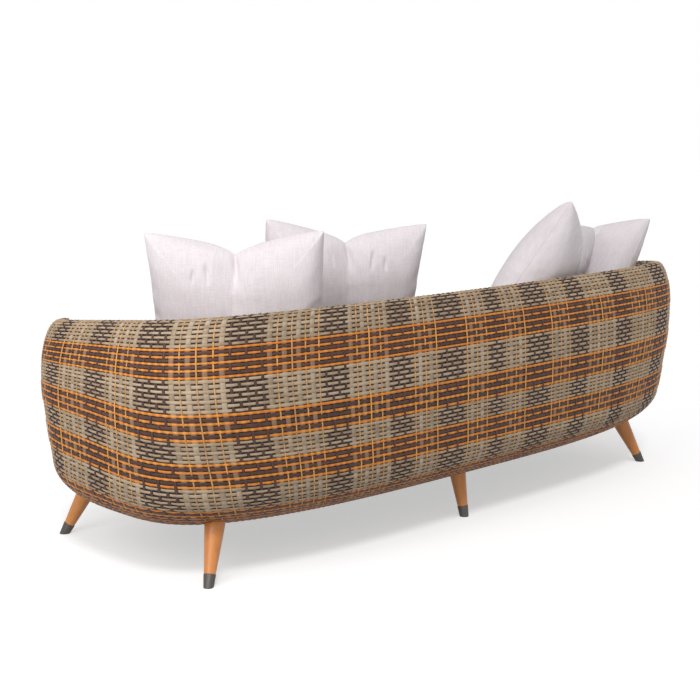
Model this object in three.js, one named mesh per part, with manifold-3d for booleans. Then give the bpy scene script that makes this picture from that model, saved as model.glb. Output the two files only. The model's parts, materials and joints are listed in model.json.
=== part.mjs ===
// Rattan garden sofa: a tub-shaped woven shell on a bent-tube frame, with six splayed wooden legs,
// two seat cushions and four scatter cushions. Millimetres, +Z up, the front faces -Y.
// Left and right are those of somebody sitting on the sofa, so left is +X.
import * as THREE from "three";
import { mergeVertices } from "three/addons/utils/BufferGeometryUtils.js";
import Module from "manifold-3d";

const wasm = await Module();
wasm.setup();

// Gaps between pieces
const seatGap = 0.3;
const softGap = 4;
const overrun = 60;

// Woven shell
const shell = {
  length: 2300,
  depth: 897,
  floorGap: 117,
  rimBack: 741,
  rimFront: 650,
  rimSag: 12,
  skin: 4,
  bellyHeight: 145,
  bellyInset: 270,
  bellyShift: 40,
  hemInset: 205,
  shoulderHeight: 275,
  shoulderInset: 65,
  innerRollHeight: 90,
  innerRimInset: 112,
  innerSeatInset: 140,
  armReturn: 150,
  depthInsetShare: 0.86,
  tipRollShare: 0.32,
  returnShare: 0.6,
};

// Squareness of the plan outline: 2 is an ellipse, and a higher power is nearer a rectangle
const lowPower = 3.1;
const highPower = 5.8;
const armPower = 10;

// Seat
const seat = {
  deckTop: 305,
  deckThick: 6,
  lipRadius: 16,
  lipReach: 22,
  cushionThick: 124,
  cushionCrown: 16,
  cushionEdge: 14,
  cushionEdgeHeight: 26,
  cushionDrawIn: 7,
  cushionFrontInset: 12,
  cushionTipGap: 26,
  cushionNarrowFrom: 248.5,
  cushionNarrowTo: 158.5,
  cushionCentreY: -30,
};
const cushionCornerPower = 12;

// Frame tubes
const tube = {
  ringRadius: 10,
  railWidth: 30,
  railHeight: 25,
  wall: 2,
  ribRadius: 9,
  ribClearance: 7,
  topRadius: 9,
  topDrop: 19,
  seatRailRadius: 12,
  stepLength: 85,
  postWidth: 25,
  postBackInset: 298.5,
  postFrontInset: 218.5,
  stationInset: 530,
  legRailBackInset: 213.5,
  legRailFrontInset: 118.5,
  legRailEndInset: 220,
};

// Legs
const leg = {
  footEndInset: 155,
  footBackInset: 152.5,
  footFrontInset: 57.5,
  middleBackInset: 125.5,
  middleFrontInset: 44.5,
  tipRadius: 12.6,
  headRadius: 28,
  taperLength: 165,
  ferruleLength: 34,
  ferruleWall: 1.4,
  ferruleBase: 3,
  plateRadius: 39,
  plateThick: 5,
  studRadius: 4,
  studLength: 30,
  skinGap: 1,
};
const cornerLeanShares = { x: 0.424, y: 0.325 };
const middleLeanShares = { x: 0, y: 0.223 };

// Scatter cushions
const pillow = {
  width: 480,
  thick: 205,
  edgeThick: 5,
  chopDepth: 52,
  drawInShare: 0.045,
  chopWidthShare: 0.95,
  creaseShare: 0.34,
  creaseWidthShare: 0.16,
  fullnessPower: 0.42,
};

// How far each scatter cushion's lower edge stands from the nearer end of the sofa and from its back,
// and its turn, lean and roll in degrees
const leftPillowPlaces = {
  scatter_cushion_left_outer: { fromEnd: 473, fromBack: 375.5, facing: 223, lean: 14.7, roll: -0.9 },
  scatter_cushion_left_inner: { fromEnd: 846, fromBack: 410.5, facing: 240, lean: 14, roll: 2.8 },
};
const rightPillowPlaces = {
  scatter_cushion_right_inner: { fromEnd: 739, fromBack: 334.5, facing: 288.4, lean: 30.4, roll: 16.8 },
  scatter_cushion_right_outer: { fromEnd: 404, fromBack: 381.5, facing: 352.3, lean: 33.9, roll: 5 },
};

// Counts of steps round and along the shapes
const counts = {
  back: 42,
  front: 12,
  belly: 4,
  wall: 2,
  shoulder: 5,
  lip: 3,
  inner: 3,
  innerRoll: 4,
  tip: 4,
  tubeSides: 4,
  tube: 12,
  topTube: 32,
  lathe: 16,
  cushion: 36,
  cushionTop: 4,
  pillow: 12,
  deck: 80,
  search: 24,
};

// Derived sizes of the shell
const halfLength = shell.length / 2;
const halfDepth = shell.depth / 2;
const armCut = halfLength - shell.armReturn;
const wallHeight = shell.rimBack - shell.floorGap;
const deckUnder = seat.deckTop - seat.deckThick;
const apronLevel = levelOf(seat.deckTop - seat.lipRadius);
const seatLevel = levelOf(seat.deckTop + seatGap);
const bellyLevel = shell.bellyHeight / wallHeight;
const hemLevel = bellyLevel * (1 - Math.sin(Math.acos(1 - shell.hemInset / shell.bellyInset)));

// A level runs from 0 at the underside to 1 at the rim. Rows are level below the seat
function levelOf(height) {
  return (height - shell.floorGap) / wallHeight;
}

function rimHeight(x, y) {
  const backShare = THREE.MathUtils.clamp((y + halfDepth) / shell.depth, 0, 1);
  const bow = 1 - (x / halfLength) ** 2;
  return shell.rimFront + (shell.rimBack - shell.rimFront) * backShare - shell.rimSag * bow;
}

// Above the seat the rows fan, so that the last one follows the rim
function heightAt(x, y, level) {
  const fan = Math.max(0, (level - apronLevel) / (1 - apronLevel));
  return shell.floorGap + wallHeight * level - (shell.rimBack - rimHeight(x, y)) * fan;
}

// How far a quarter round has drawn in, as a share of its width, at a share of its height
function quarterRound(share) {
  return 1 - Math.sqrt(Math.max(0, 1 - Math.max(0, share) ** 2));
}

function bellyRound(level) {
  return quarterRound(1 - level / bellyLevel);
}

function shoulderShare(level) {
  return 1 - ((1 - level) * wallHeight) / shell.shoulderHeight;
}

// How far the outer face has drawn in from the widest outline
function outerInset(level) {
  const shoulder = shell.shoulderInset * quarterRound(shoulderShare(level));
  return shell.bellyInset * bellyRound(level) + shoulder;
}

// How far the face towards the sitter has drawn in: a rolled rim, then a wall that leans
function innerInset(level) {
  const drop = (1 - level) * wallHeight;
  const roll = Math.min(1, drop / shell.innerRollHeight);
  const rolled = (shell.innerRimInset - shell.shoulderInset) * Math.sqrt(roll * (2 - roll));
  const wall = (1 - seatLevel) * wallHeight - shell.innerRollHeight;
  const downShare = THREE.MathUtils.clamp((drop - shell.innerRollHeight) / wall, 0, 1);
  return shell.shoulderInset + rolled + (shell.innerSeatInset - shell.innerRimInset) * downShare;
}

function planPower(level) {
  return lowPower + (highPower - lowPower) * level;
}

// A plan outline: half sizes to the side, the back and the front, and the powers that square it
function outerOutline(level, extra = 0) {
  const inset = outerInset(level) + extra;
  const halfY = halfDepth - inset * shell.depthInsetShare;
  const power = planPower(level);
  const shift = -shell.bellyShift * bellyRound(level);
  return { level, halfX: halfLength - inset, backY: halfY, frontY: halfY, power, frontPower: power, shift };
}

// The inner outline is squarer in front, where the arms run straight to their rounded ends
function innerOutline(level, extra = 0) {
  const outer = outerOutline(level);
  const inset = innerInset(level) + extra;
  const thick = (innerInset(level) - outerInset(level)) * shell.depthInsetShare;
  const squareShare = Math.min(1, ((1 - level) * wallHeight) / shell.innerRollHeight);
  return {
    level,
    halfX: halfLength - inset,
    backY: halfDepth - inset * shell.depthInsetShare,
    frontY: outer.frontY - thick * shell.returnShare,
    power: outer.power,
    frontPower: outer.power + (armPower - outer.power) * squareShare,
    shift: outer.shift,
  };
}

function pointOn(outline, angle) {
  const c = Math.cos(angle);
  const s = Math.sin(angle);
  const halfY = s < 0 ? outline.frontY : outline.backY;
  const power = s < 0 ? outline.frontPower : outline.power;
  const reach = (Math.abs(c) ** power + Math.abs(s) ** power) ** (-1 / power);
  return [outline.halfX * c * reach, halfY * s * reach + outline.shift];
}

// Distance from the X axis at which the front or back of an outline stands at a given x
function sideY(halfX, halfY, power, x) {
  return halfY * (1 - Math.abs(x / halfX) ** power) ** (1 / power);
}

function frontEdgeY(outline, x) {
  return outline.shift - sideY(outline.halfX, outline.frontY, outline.frontPower, x);
}

function backEdgeY(outline, x) {
  return outline.shift + sideY(outline.halfX, outline.backY, outline.power, x);
}

// Angle below the X axis at which the weave of the arm ends and turns to the inside
function cutAngle(outline) {
  return Math.atan(((outline.halfX / armCut) ** outline.frontPower - 1) ** (1 / outline.frontPower));
}

function faceAngle(outline, share) {
  const cut = cutAngle(outline.level < apronLevel ? outerOutline(apronLevel) : outline);
  return -cut + (Math.PI + 2 * cut) * share;
}

// A point of a face by its share of the way from the left arm round the back to the right arm
function facePoint(outline, share) {
  const [x, y] = pointOn(outline, faceAngle(outline, share));
  return new THREE.Vector3(x, y, heightAt(x, y, outline.level));
}

// Shares of the columns, spread half by length and half by turning, so that corners get more
const columnShares = spreadShares(counts.back);

function spreadShares(count) {
  const outline = outerOutline(apronLevel);
  const samples = count * counts.tube;
  const marks = [0];
  let before = facePoint(outline, 0);
  let heading = 0;
  for (let i = 1; i <= samples; i++) {
    const now = facePoint(outline, i / samples);
    const next = Math.atan2(now.y - before.y, now.x - before.x);
    const turn = i === 1 ? 0 : Math.acos(Math.min(1, Math.cos(next - heading)));
    marks.push(marks[i - 1] + now.distanceTo(before) / shell.length + turn / Math.PI);
    before = now;
    heading = next;
  }
  return Array.from({ length: count + 1 }, (_, i) => {
    const goal = marks[samples] * (i / count);
    const k = Math.min(samples - 1, Math.max(0, marks.findIndex((mark) => mark >= goal) - 1));
    return (k + (goal - marks[k]) / (marks[k + 1] - marks[k])) / samples;
  });
}

// Levels of a run of rows whose ends are given, bunched at the end where the face turns over
function rowLevels(from, to, count, bunched = "none") {
  return Array.from({ length: count + 1 }, (_, i) => {
    const share = i / count;
    const quarter = (Math.PI / 2) * share;
    const spread = { none: share, end: Math.sin(quarter), start: 1 - Math.cos(quarter) };
    return from + (to - from) * spread[bunched];
  });
}

// Builds a skin from patches, each a row of columns of points. Neighbouring columns are joined, and
// patches meet where they share points. A point may pin the way the skin takes its thickness.
function skinGeometry(patches, thick, flipped) {
  const ids = new Map();
  for (const point of patches.flat(2)) {
    if (!ids.has(point)) ids.set(point, ids.size);
  }
  const points = [...ids.keys()];
  const triangles = [];
  const keep = (corners) => {
    if (new Set(corners).size === corners.length) triangles.push(flipped ? corners.toReversed() : corners);
  };
  for (const columns of patches) {
    for (let i = 0; i + 1 < columns.length; i++) {
      for (let k = 0; k + 1 < columns[i].length; k++) {
        const corners = [columns[i][k], columns[i + 1][k], columns[i + 1][k + 1], columns[i][k + 1]];
        const [a, b, c, d] = corners.map((p) => ids.get(p));
        keep([a, b, c]);
        keep([a, c, d]);
      }
    }
  }
  const normals = points.map(() => new THREE.Vector3());
  for (const [a, b, c] of triangles) {
    const face = points[b].clone().sub(points[a]).cross(points[c].clone().sub(points[a]));
    for (const k of [a, b, c]) normals[k].add(face);
  }
  const inner = points.map((p, k) => {
    if (p.footed) normals[k].setZ(0);
    return p.clone().addScaledVector(p.pinned ?? normals[k].normalize(), -thick);
  });
  return closedGeometry(points, inner, triangles);
}

// Joins a sheet of triangles to its copy behind it, along the edges that only one triangle uses
function closedGeometry(points, inner, triangles) {
  const n = points.length;
  const index = [];
  const edges = new Map();
  for (const [a, b, c] of triangles) {
    index.push(a, b, c, c + n, b + n, a + n);
    for (const [p, q] of [[a, b], [b, c], [c, a]]) edges.set(p + ":" + q, [p, q]);
  }
  for (const [p, q] of edges.values()) {
    if (!edges.has(q + ":" + p)) index.push(p, p + n, q + n, p, q + n, q);
  }
  const geometry = new THREE.BufferGeometry();
  const numbers = [...points, ...inner].flatMap((p) => p.toArray());
  geometry.setAttribute("position", new THREE.Float32BufferAttribute(numbers, 3));
  geometry.setIndex(index);
  return geometry;
}

// Booleans on closed geometry
function solidOf(geometry) {
  const bare = geometry.clone();
  bare.deleteAttribute("normal");
  bare.deleteAttribute("uv");
  const merged = mergeVertices(bare, seatGap / 100);
  const vertProperties = new Float32Array(merged.attributes.position.array);
  const triVerts = new Uint32Array(merged.index.array);
  return new wasm.Manifold(new wasm.Mesh({ numProp: 3, vertProperties, triVerts }));
}

function geometryOf(solid) {
  const mesh = solid.getMesh();
  const geometry = new THREE.BufferGeometry();
  geometry.setAttribute("position", new THREE.BufferAttribute(new Float32Array(mesh.vertProperties), 3));
  geometry.setIndex(new THREE.BufferAttribute(new Uint32Array(mesh.triVerts), 1));
  return geometry;
}

// A flat slab between two heights, wide enough to trim a leg
function slab(bottom, top) {
  const width = 2 * shell.length;
  return solidOf(new THREE.BoxGeometry(width, width, top - bottom).translate(0, 0, (top + bottom) / 2));
}

// Finishes and the group that holds every piece
function finish(color, roughness, metalness) {
  return new THREE.MeshStandardMaterial({ color, roughness, metalness });
}
const finishes = {
  weave: finish(0x9c8366, 0.6, 0),
  frame: finish(0x5a5350, 0.45, 0.8),
  wood: finish(0xc47a3c, 0.5, 0),
  ferrule: finish(0x6a6763, 0.4, 0.6),
  board: finish(0x8a6f50, 0.7, 0),
  fabric: finish(0xd9d2d7, 0.9, 0),
};

const sofa = new THREE.Group();

function add(name, geometry, material) {
  const mesh = new THREE.Mesh(geometry, material);
  mesh.name = name;
  sofa.add(mesh);
  return mesh;
}

// Frame pieces
function bentTube(name, points, radius) {
  const section = new THREE.Shape().absarc(0, 0, radius, 0, 2 * Math.PI);
  const extrudePath = new THREE.CatmullRomCurve3(points, false, "centripetal");
  const count = Math.ceil(extrudePath.getLength() / tube.stepLength);
  const options = { steps: count, curveSegments: counts.tubeSides, bevelEnabled: false, extrudePath };
  add(name, new THREE.ExtrudeGeometry(section, options), finishes.frame);
}

function rectangle(kind, width, height) {
  const corners = [[-1, -1], [1, -1], [1, 1], [-1, 1]];
  return new kind(corners.map(([u, v]) => new THREE.Vector2((u * width) / 2, (v * height) / 2)));
}

// A straight hollow tube of rectangular section with open ends, made about its middle
function straightTube(name, length, width, height, turn) {
  const section = rectangle(THREE.Shape, width, height);
  section.holes.push(rectangle(THREE.Path, width - 2 * tube.wall, height - 2 * tube.wall));
  const geometry = new THREE.ExtrudeGeometry(section, { depth: length, bevelEnabled: false });
  geometry.translate(0, 0, -length / 2);
  geometry.applyMatrix4(new THREE.Matrix4().makeRotationFromEuler(turn));
  return add(name, geometry, finishes.frame);
}
const alongX = new THREE.Euler(Math.PI / 2, 0, Math.PI / 2, "ZYX");
const alongY = new THREE.Euler(Math.PI / 2, 0, 0);
const alongZ = new THREE.Euler(0, 0, 0);

// Heights of the frame's layers, from the hem of the shell up to the seat deck
const hemZ = shell.floorGap + hemLevel * wallHeight;
const ringZ = hemZ + shell.skin + seatGap + tube.ringRadius;
const crossZ = ringZ + tube.ringRadius + seatGap + tube.railHeight / 2;
const deckBarZ = deckUnder - seatGap - tube.railHeight / 2;
const seatRailZ = deckUnder - seatGap - tube.seatRailRadius;
const legRailZ = deckBarZ - tube.railHeight - seatGap;
const plateTop = legRailZ - tube.railHeight / 2 - seatGap;
const legTop = plateTop - leg.plateThick - seatGap;

// The base ring follows the hem of the weave in four bent lengths that meet at the corners
const ringOutline = outerOutline(hemLevel);
ringOutline.halfX -= tube.ringRadius;
ringOutline.backY -= tube.ringRadius;
ringOutline.frontY -= tube.ringRadius;
const ringMitre = tube.ringRadius / ringOutline.halfX;
const ringLengths = { left: 0, back: 1, right: 2, front: 3 };
for (const [side, quarter] of Object.entries(ringLengths)) {
  const start = (quarter - 0.5) * (Math.PI / 2) + ringMitre / 2;
  const sweep = Math.PI / 2 - ringMitre;
  const points = Array.from({ length: counts.topTube + 1 }, (_, i) => {
    const [x, y] = pointOn(ringOutline, start + (sweep * i) / counts.topTube);
    return new THREE.Vector3(x, y, ringZ);
  });
  bentTube("base_ring_" + side, points, tube.ringRadius);
}

// Seat rails carry the edges of the deck
const railInset = seatGap + tube.seatRailRadius;
const deckRailOutline = innerOutline(seatLevel, railInset);
const apronOutline = outerOutline(apronLevel);
const lipEnd = seat.lipRadius + seat.lipReach;
const frontRailInset = shell.skin + seat.lipRadius + tube.seatRailRadius;

function frontRailY(x) {
  return frontEdgeY(apronOutline, x) + frontRailInset;
}

function railRun(name, plan) {
  const points = plan.map(([x, y]) => new THREE.Vector3(x, y, seatRailZ));
  bentTube(name, points, tube.seatRailRadius);
}

const sideTurn = Math.PI / 20;
const sideMitre = (4 * seatGap) / deckRailOutline.backY;
const backSweep = Math.PI - 2 * sideTurn;
railRun("seat_rail_back", Array.from({ length: counts.topTube + 1 }, (_, i) =>
  pointOn(deckRailOutline, sideTurn + (backSweep * i) / counts.topTube)));
const frontRailReach = deckRailOutline.halfX - tube.seatRailRadius - seatGap;
railRun("seat_rail_front", Array.from({ length: counts.tube + 1 }, (_, i) => {
  const x = frontRailReach * (1 - (2 * i) / counts.tube);
  return [x, frontRailY(x)];
}));
for (const [side, sign] of [["left", 1], ["right", -1]]) {
  const frontY = frontRailY(frontRailReach);
  const bend = [0, 1 / 2, 1].map((share) => {
    const [x, y] = pointOn(deckRailOutline, (sideTurn - sideMitre) * share);
    return [sign * x, y];
  });
  const straight = [frontY, (2 / 3) * frontY, frontY / 3].map((y) => [sign * deckRailOutline.halfX, y]);
  railRun("seat_rail_" + side, [...straight, ...bend]);
}

// Cross bars lie on the ring, posts stand on them, and the deck bars lie on the posts
const postBottom = crossZ + tube.railHeight / 2 + seatGap;
const postTop = deckBarZ - tube.railHeight / 2 - seatGap;
const stationX = halfLength - tube.stationInset;
const stations = { left: stationX, middle: 0, right: -stationX };
const postPlaces = { front: tube.postFrontInset - halfDepth, back: halfDepth - tube.postBackInset };
for (const [side, x] of Object.entries(stations)) {
  const ringFront = frontEdgeY(ringOutline, x);
  const ringBack = backEdgeY(ringOutline, x);
  const crossLength = ringBack - ringFront + 2 * tube.ringRadius;
  const cross = straightTube("cross_bar_" + side, crossLength, tube.railWidth, tube.railHeight, alongY);
  cross.position.set(x, (ringFront + ringBack) / 2, crossZ);
  const outerX = Math.abs(x) + tube.railWidth / 2;
  const front = frontRailY(outerX) + railInset + seatGap;
  const back = backEdgeY(deckRailOutline, outerX) - railInset - 3 * seatGap;
  const bar = straightTube("deck_bar_" + side, back - front, tube.railWidth, tube.railHeight, alongY);
  bar.position.set(x, (front + back) / 2, deckBarZ);
  for (const [end, y] of Object.entries(postPlaces)) {
    const name = "seat_post_" + end + "_" + side;
    const post = straightTube(name, postTop - postBottom, tube.postWidth, tube.postWidth, alongZ);
    post.position.set(x, y, (postTop + postBottom) / 2);
  }
}

// Two long rails under the deck bars carry the leg plates
const legRailPlaces = { front: tube.legRailFrontInset - halfDepth, back: halfDepth - tube.legRailBackInset };
for (const [end, y] of Object.entries(legRailPlaces)) {
  const length = shell.length - 2 * tube.legRailEndInset;
  const rail = straightTube("leg_rail_" + end, length, tube.railWidth, tube.railHeight, alongX);
  rail.position.set(0, y, legRailZ);
}

// Direction square to a face, found from points close by
function faceNormal(outlineOf, level, share) {
  const near = shell.skin / shell.length;
  const along = facePoint(outlineOf(level), share + near).sub(facePoint(outlineOf(level), share - near));
  const up = facePoint(outlineOf(level + near), share).sub(facePoint(outlineOf(level - near), share));
  return along.cross(up).normalize();
}

// The top rail runs under the rim in three lengths that meet behind the rear corners
const topShares = { start: 0.032, corner: 0.22 };
const topMitre = (2 * seatGap) / shell.length;

function topRailPoint(share) {
  const rim = facePoint(outerOutline(1), share);
  return rim.setZ(rim.z - tube.topDrop);
}

function topRail(name, from, to) {
  const shares = rowLevels(from, to, counts.topTube);
  bentTube(name, shares.map(topRailPoint), tube.topRadius);
}
topRail("top_rail_left", topShares.start, topShares.corner - topMitre);
topRail("top_rail_back", topShares.corner, 1 - topShares.corner);
topRail("top_rail_right", 1 - topShares.corner + topMitre, 1 - topShares.start);

// Ribs stand on the ring, follow the inside of the weave and end under the top rail
const ribShares = {
  rib_left_front: 0.05,
  rib_left_side: 0.2,
  rib_left_back: 0.394,
  rib_right_back: 0.606,
  rib_right_side: 0.8,
  rib_right_front: 0.95,
};
const ribDepth = shell.skin + seatGap + tube.ribRadius + tube.ribClearance;
const ribTopLevel = 1 - shell.innerRollHeight / wallHeight;
const ribFootShare = 0.36;
for (const [name, share] of Object.entries(ribShares)) {
  const angle = faceAngle(ringOutline, share);
  const [x, y] = pointOn(ringOutline, angle);
  const [nextX, nextY] = pointOn(ringOutline, angle + tube.ringRadius / shell.length);
  const centre = new THREE.Vector3(x, y, ringZ);
  const way = new THREE.Vector3(nextY - y, x - nextX, 0).normalize();
  centre.z += tube.ribRadius / 2;
  const start = centre.clone().addScaledVector(way, tube.ringRadius + seatGap);
  const lead = centre.clone().addScaledVector(way, tube.ringRadius + tube.ribRadius);
  const wall = rowLevels(bellyLevel * ribFootShare, ribTopLevel, counts.tube / 2).map((level) =>
    facePoint(outerOutline(level), share).addScaledVector(faceNormal(outerOutline, level, share), -ribDepth));
  const head = topRailPoint(share);
  head.z -= tube.topRadius + 3 * seatGap;
  const neck = head.clone();
  neck.z -= tube.topRadius;
  bentTube(name, [start, lead, ...wall, neck, head], tube.ribRadius);
}

// Skins. The weave of the outside is one skin from the hem to the rim, with the front apron in it
function pinTo(point, x, y, z) {
  point.pinned = new THREE.Vector3(x, y, z).normalize();
  return point;
}

function shoulderSlope(level) {
  const share = Math.max(0, shoulderShare(level));
  const flat = Math.sqrt(Math.max(seatGap / shell.length, 1 - share ** 2));
  return (shell.shoulderInset * share) / (shell.shoulderHeight * flat);
}

function pinEnd(point, level, onCut) {
  if (level === 1) return pinTo(point, 0, 0, 1);
  return onCut ? pinTo(point, 0, -1, shoulderSlope(level)) : point;
}

const bellyRows = rowLevels(hemLevel, bellyLevel, counts.belly, "start");
const apronRows = [apronLevel];
const shoulderLevel = levelOf(shell.rimBack - shell.shoulderHeight);
const wallRows = rowLevels(apronLevel, shoulderLevel, counts.wall).slice(1);
const shoulderRows = rowLevels(shoulderLevel, 1, counts.shoulder, "end").slice(1);
const backRows = [...bellyRows, ...apronRows, ...wallRows, ...shoulderRows];
const frontRows = [...bellyRows, ...apronRows];

const backColumns = columnShares.map((share, i) => {
  const onCut = i === 0 || i === counts.back;
  return backRows.map((level) => {
    const point = facePoint(outerOutline(level), share);
    return onCut && level < apronLevel ? point : pinEnd(point, level, onCut);
  });
});

// The apron's top rolls over the front seat rail and lies on the edge of the deck
function lipRows(base) {
  const rows = rowLevels(0, 1, counts.lip).slice(1).map((share) => {
    const turn = (Math.PI / 2) * share;
    return [seat.lipRadius * (1 - Math.cos(turn)), seat.lipRadius * Math.sin(turn)];
  });
  rows.push([lipEnd, seat.lipRadius]);
  return rows.map(([inward, up]) => new THREE.Vector3(base.x, base.y + inward, base.z + up));
}

const apronCut = cutAngle(apronOutline);
const frontColumns = Array.from({ length: counts.front + 1 }, (_, j) => {
  const angle = Math.PI + apronCut + ((Math.PI - 2 * apronCut) * j) / counts.front;
  const edge = j === 0 ? backColumns[counts.back] : j === counts.front ? backColumns[0] : null;
  const column = edge
    ? edge.slice(0, frontRows.length)
    : frontRows.map((level) => {
        const [x, y] = pointOn(outerOutline(level), angle);
        return new THREE.Vector3(x, y, heightAt(x, y, level));
      });
  return [...column, ...lipRows(column[frontRows.length - 1])];
});

// Legs: turned and tapered, leaning outwards, in a ferrule on the floor, under a plate with a stud
const footX = halfLength - leg.footEndInset;
const footY = { front: leg.footFrontInset - halfDepth, back: halfDepth - leg.footBackInset };
const middleY = { front: leg.middleFrontInset - halfDepth, back: halfDepth - leg.middleBackInset };
const legPlaces = {
  front_left: { x: footX, y: footY.front, lean: cornerLeanShares },
  front_middle: { x: 0, y: middleY.front, lean: middleLeanShares },
  front_right: { x: -footX, y: footY.front, lean: cornerLeanShares },
  back_left: { x: footX, y: footY.back, lean: cornerLeanShares },
  back_middle: { x: 0, y: middleY.back, lean: middleLeanShares },
  back_right: { x: -footX, y: footY.back, lean: cornerLeanShares },
};

// How far a leg's axis draws in towards the middle of the sofa, for each step up
function legLean(place) {
  return new THREE.Vector2(-Math.sign(place.x) * place.lean.x, -Math.sign(place.y) * place.lean.y);
}

// A turned shape about a leaning axis through the foot, from a profile of radii and distances
function turned(place, profile) {
  const axis = new THREE.Vector3(...legLean(place).toArray(), 1).normalize();
  const turn = new THREE.Quaternion().setFromUnitVectors(new THREE.Vector3(0, 1, 0), axis);
  const points = profile.map(([radius, along]) => new THREE.Vector2(radius, along));
  const geometry = new THREE.LatheGeometry(points, counts.lathe);
  geometry.applyQuaternion(turn);
  return solidOf(geometry.translate(place.x, place.y, 0));
}

function legRadius(along) {
  return leg.tipRadius + ((leg.headRadius - leg.tipRadius) * along) / leg.taperLength;
}

// The leg tapers up to its head, and the head runs on beyond every cut
function legCone(place, grow) {
  const low = -overrun / 2;
  const high = legTop + 2 * overrun;
  const head = leg.headRadius + grow;
  const profile = [[0, low], [legRadius(low) + grow, low], [head, leg.taperLength], [head, high], [0, high]];
  return turned(place, profile);
}

// An upright round bar between two heights
function uprightBar(centre, radius, bottom, top, sides) {
  const bar = new THREE.CylinderGeometry(radius, radius, top - bottom, sides);
  return solidOf(bar.rotateX(Math.PI / 2).translate(centre.x, centre.y, (bottom + top) / 2));
}

const legHoles = [];
for (const [where, place] of Object.entries(legPlaces)) {
  const head = new THREE.Vector2(place.x, place.y).addScaledVector(legLean(place), legTop);
  const low = -overrun / 2;
  const high = leg.ferruleLength;
  const foot = legRadius(low) + leg.ferruleWall;
  const sleeve = legRadius(high) + leg.ferruleWall;
  const jacket = turned(place, [[0, low], [foot, low], [sleeve, high], [0, high]]);
  const bore = legCone(place, seatGap).intersect(slab(leg.ferruleBase, shell.rimBack));
  const ferrule = jacket.intersect(slab(0, shell.rimBack)).subtract(bore);
  add("ferrule_" + where, geometryOf(ferrule), finishes.ferrule);

  const studSides = counts.lathe / 2;
  const studEnd = legTop - leg.studLength;
  const hole = uprightBar(head, leg.studRadius + seatGap, studEnd, legTop + overrun, studSides);
  const post = legCone(place, 0).intersect(slab(leg.ferruleBase + seatGap, legTop)).subtract(hole);
  add("leg_" + where, geometryOf(post), finishes.wood);

  const disc = uprightBar(head, leg.plateRadius, plateTop - leg.plateThick, plateTop, counts.lathe);
  const stud = uprightBar(head, leg.studRadius, studEnd + seatGap, plateTop - seatGap, studSides);
  add("leg_plate_" + where, geometryOf(disc.add(stud)), finishes.frame);
  legHoles.push(legCone(place, leg.skinGap));
}

const outerSkin = skinGeometry([backColumns, frontColumns], shell.skin, false);
const outerWeave = legHoles.reduce((solid, hole) => solid.subtract(hole), solidOf(outerSkin));
add("outer_weave", geometryOf(outerWeave), finishes.weave);

// The weave towards the sitter is another skin, with a rounded cap over the end of each arm
const innerWallRows = rowLevels(seatLevel, ribTopLevel, counts.inner);
const innerRollRows = rowLevels(ribTopLevel, 1, counts.innerRoll, "end").slice(1);
const innerRows = [...innerWallRows, ...innerRollRows];

// The lowest row stands on the deck, and the highest meets the outer weave on the rim
function innerPoint(level, share) {
  const rim = level === 1;
  const point = facePoint(innerOutline(level, rim ? seatGap : 0), share);
  return rim ? pinTo(point, 0, 0, 1) : footPoint(point, level);
}

function footPoint(point, level) {
  if (level > seatLevel) return point;
  point.footed = true;
  return point.setZ(seat.deckTop + seatGap);
}

const innerColumns = columnShares.map((share) => innerRows.map((level) => innerPoint(level, share)));

// Columns of the cap, from the edge of the outer weave to the first column of the inner weave
function armCap(edge, sign) {
  return rowLevels(0, 1, counts.tip).slice(0, -1).map((share) => innerRows.map((level, k) => {
    if (level === 1) return edge[k];
    const from = frontEdgeY(outerOutline(level), armCut);
    const to = edge[k].y;
    const bulge = shell.tipRollShare * (to - from) * Math.sin(Math.PI * share);
    const x = sign * (armCut - seatGap * (1 - share) - bulge);
    const y = from + ((to - from) * (1 - Math.cos(Math.PI * share))) / 2;
    const point = footPoint(new THREE.Vector3(x, y, heightAt(x, y, level)), level);
    return share === 0 ? pinTo(point, 0, -1, shoulderSlope(level)) : point;
  }));
}

const leftCap = armCap(innerColumns[0], 1);
const rightCap = armCap(innerColumns[counts.back], -1).reverse();
for (const edge of [innerColumns[0], innerColumns[counts.back]]) {
  const tip = edge[innerRows.length - 1];
  tip.x -= Math.sign(tip.x) * seatGap;
}
const innerSkin = skinGeometry([[...leftCap, ...innerColumns, ...rightCap]], shell.skin, true);
add("inner_weave", innerSkin, finishes.weave);

// Seat deck: a board that carries the inner weave and ends behind the lip of the apron
const deckOutline = innerOutline(seatLevel, -1.5 * shell.skin);
const deckFront = frontColumns.map((column) => column[column.length - 1]);
const deckTurns = rowLevels(-Math.PI / 2, (3 * Math.PI) / 2, counts.deck);
const deckEnd = deckFront[0].y + seatGap;
const deckSides = deckTurns.map((turn) => pointOn(deckOutline, turn)).filter(([, y]) => y > deckEnd);
const deckShape = new THREE.Shape([
  ...deckSides.map(([x, y]) => new THREE.Vector2(x, y)),
  ...deckFront.map((point) => new THREE.Vector2(point.x, point.y + seatGap)),
]);
const deck = new THREE.ExtrudeGeometry(deckShape, { depth: seat.deckThick, bevelEnabled: false });
add("seat_deck", deck.translate(0, 0, deckUnder), finishes.board);

// Seat cushions fill the tub from side to side and meet in the middle
const cushionOutline = innerOutline(seatLevel, softGap);
const cushionCentre = new THREE.Vector2(cushionOutline.halfX / 2, seat.cushionCentreY);
const cushionBottom = seat.deckTop + seatGap;
const cushionTop = cushionBottom + seat.cushionThick;
const cushionTipX = armCut - seat.cushionTipGap;
const narrowFrom = halfDepth - seat.cushionNarrowFrom;
const narrowTo = halfDepth - seat.cushionNarrowTo;

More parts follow.
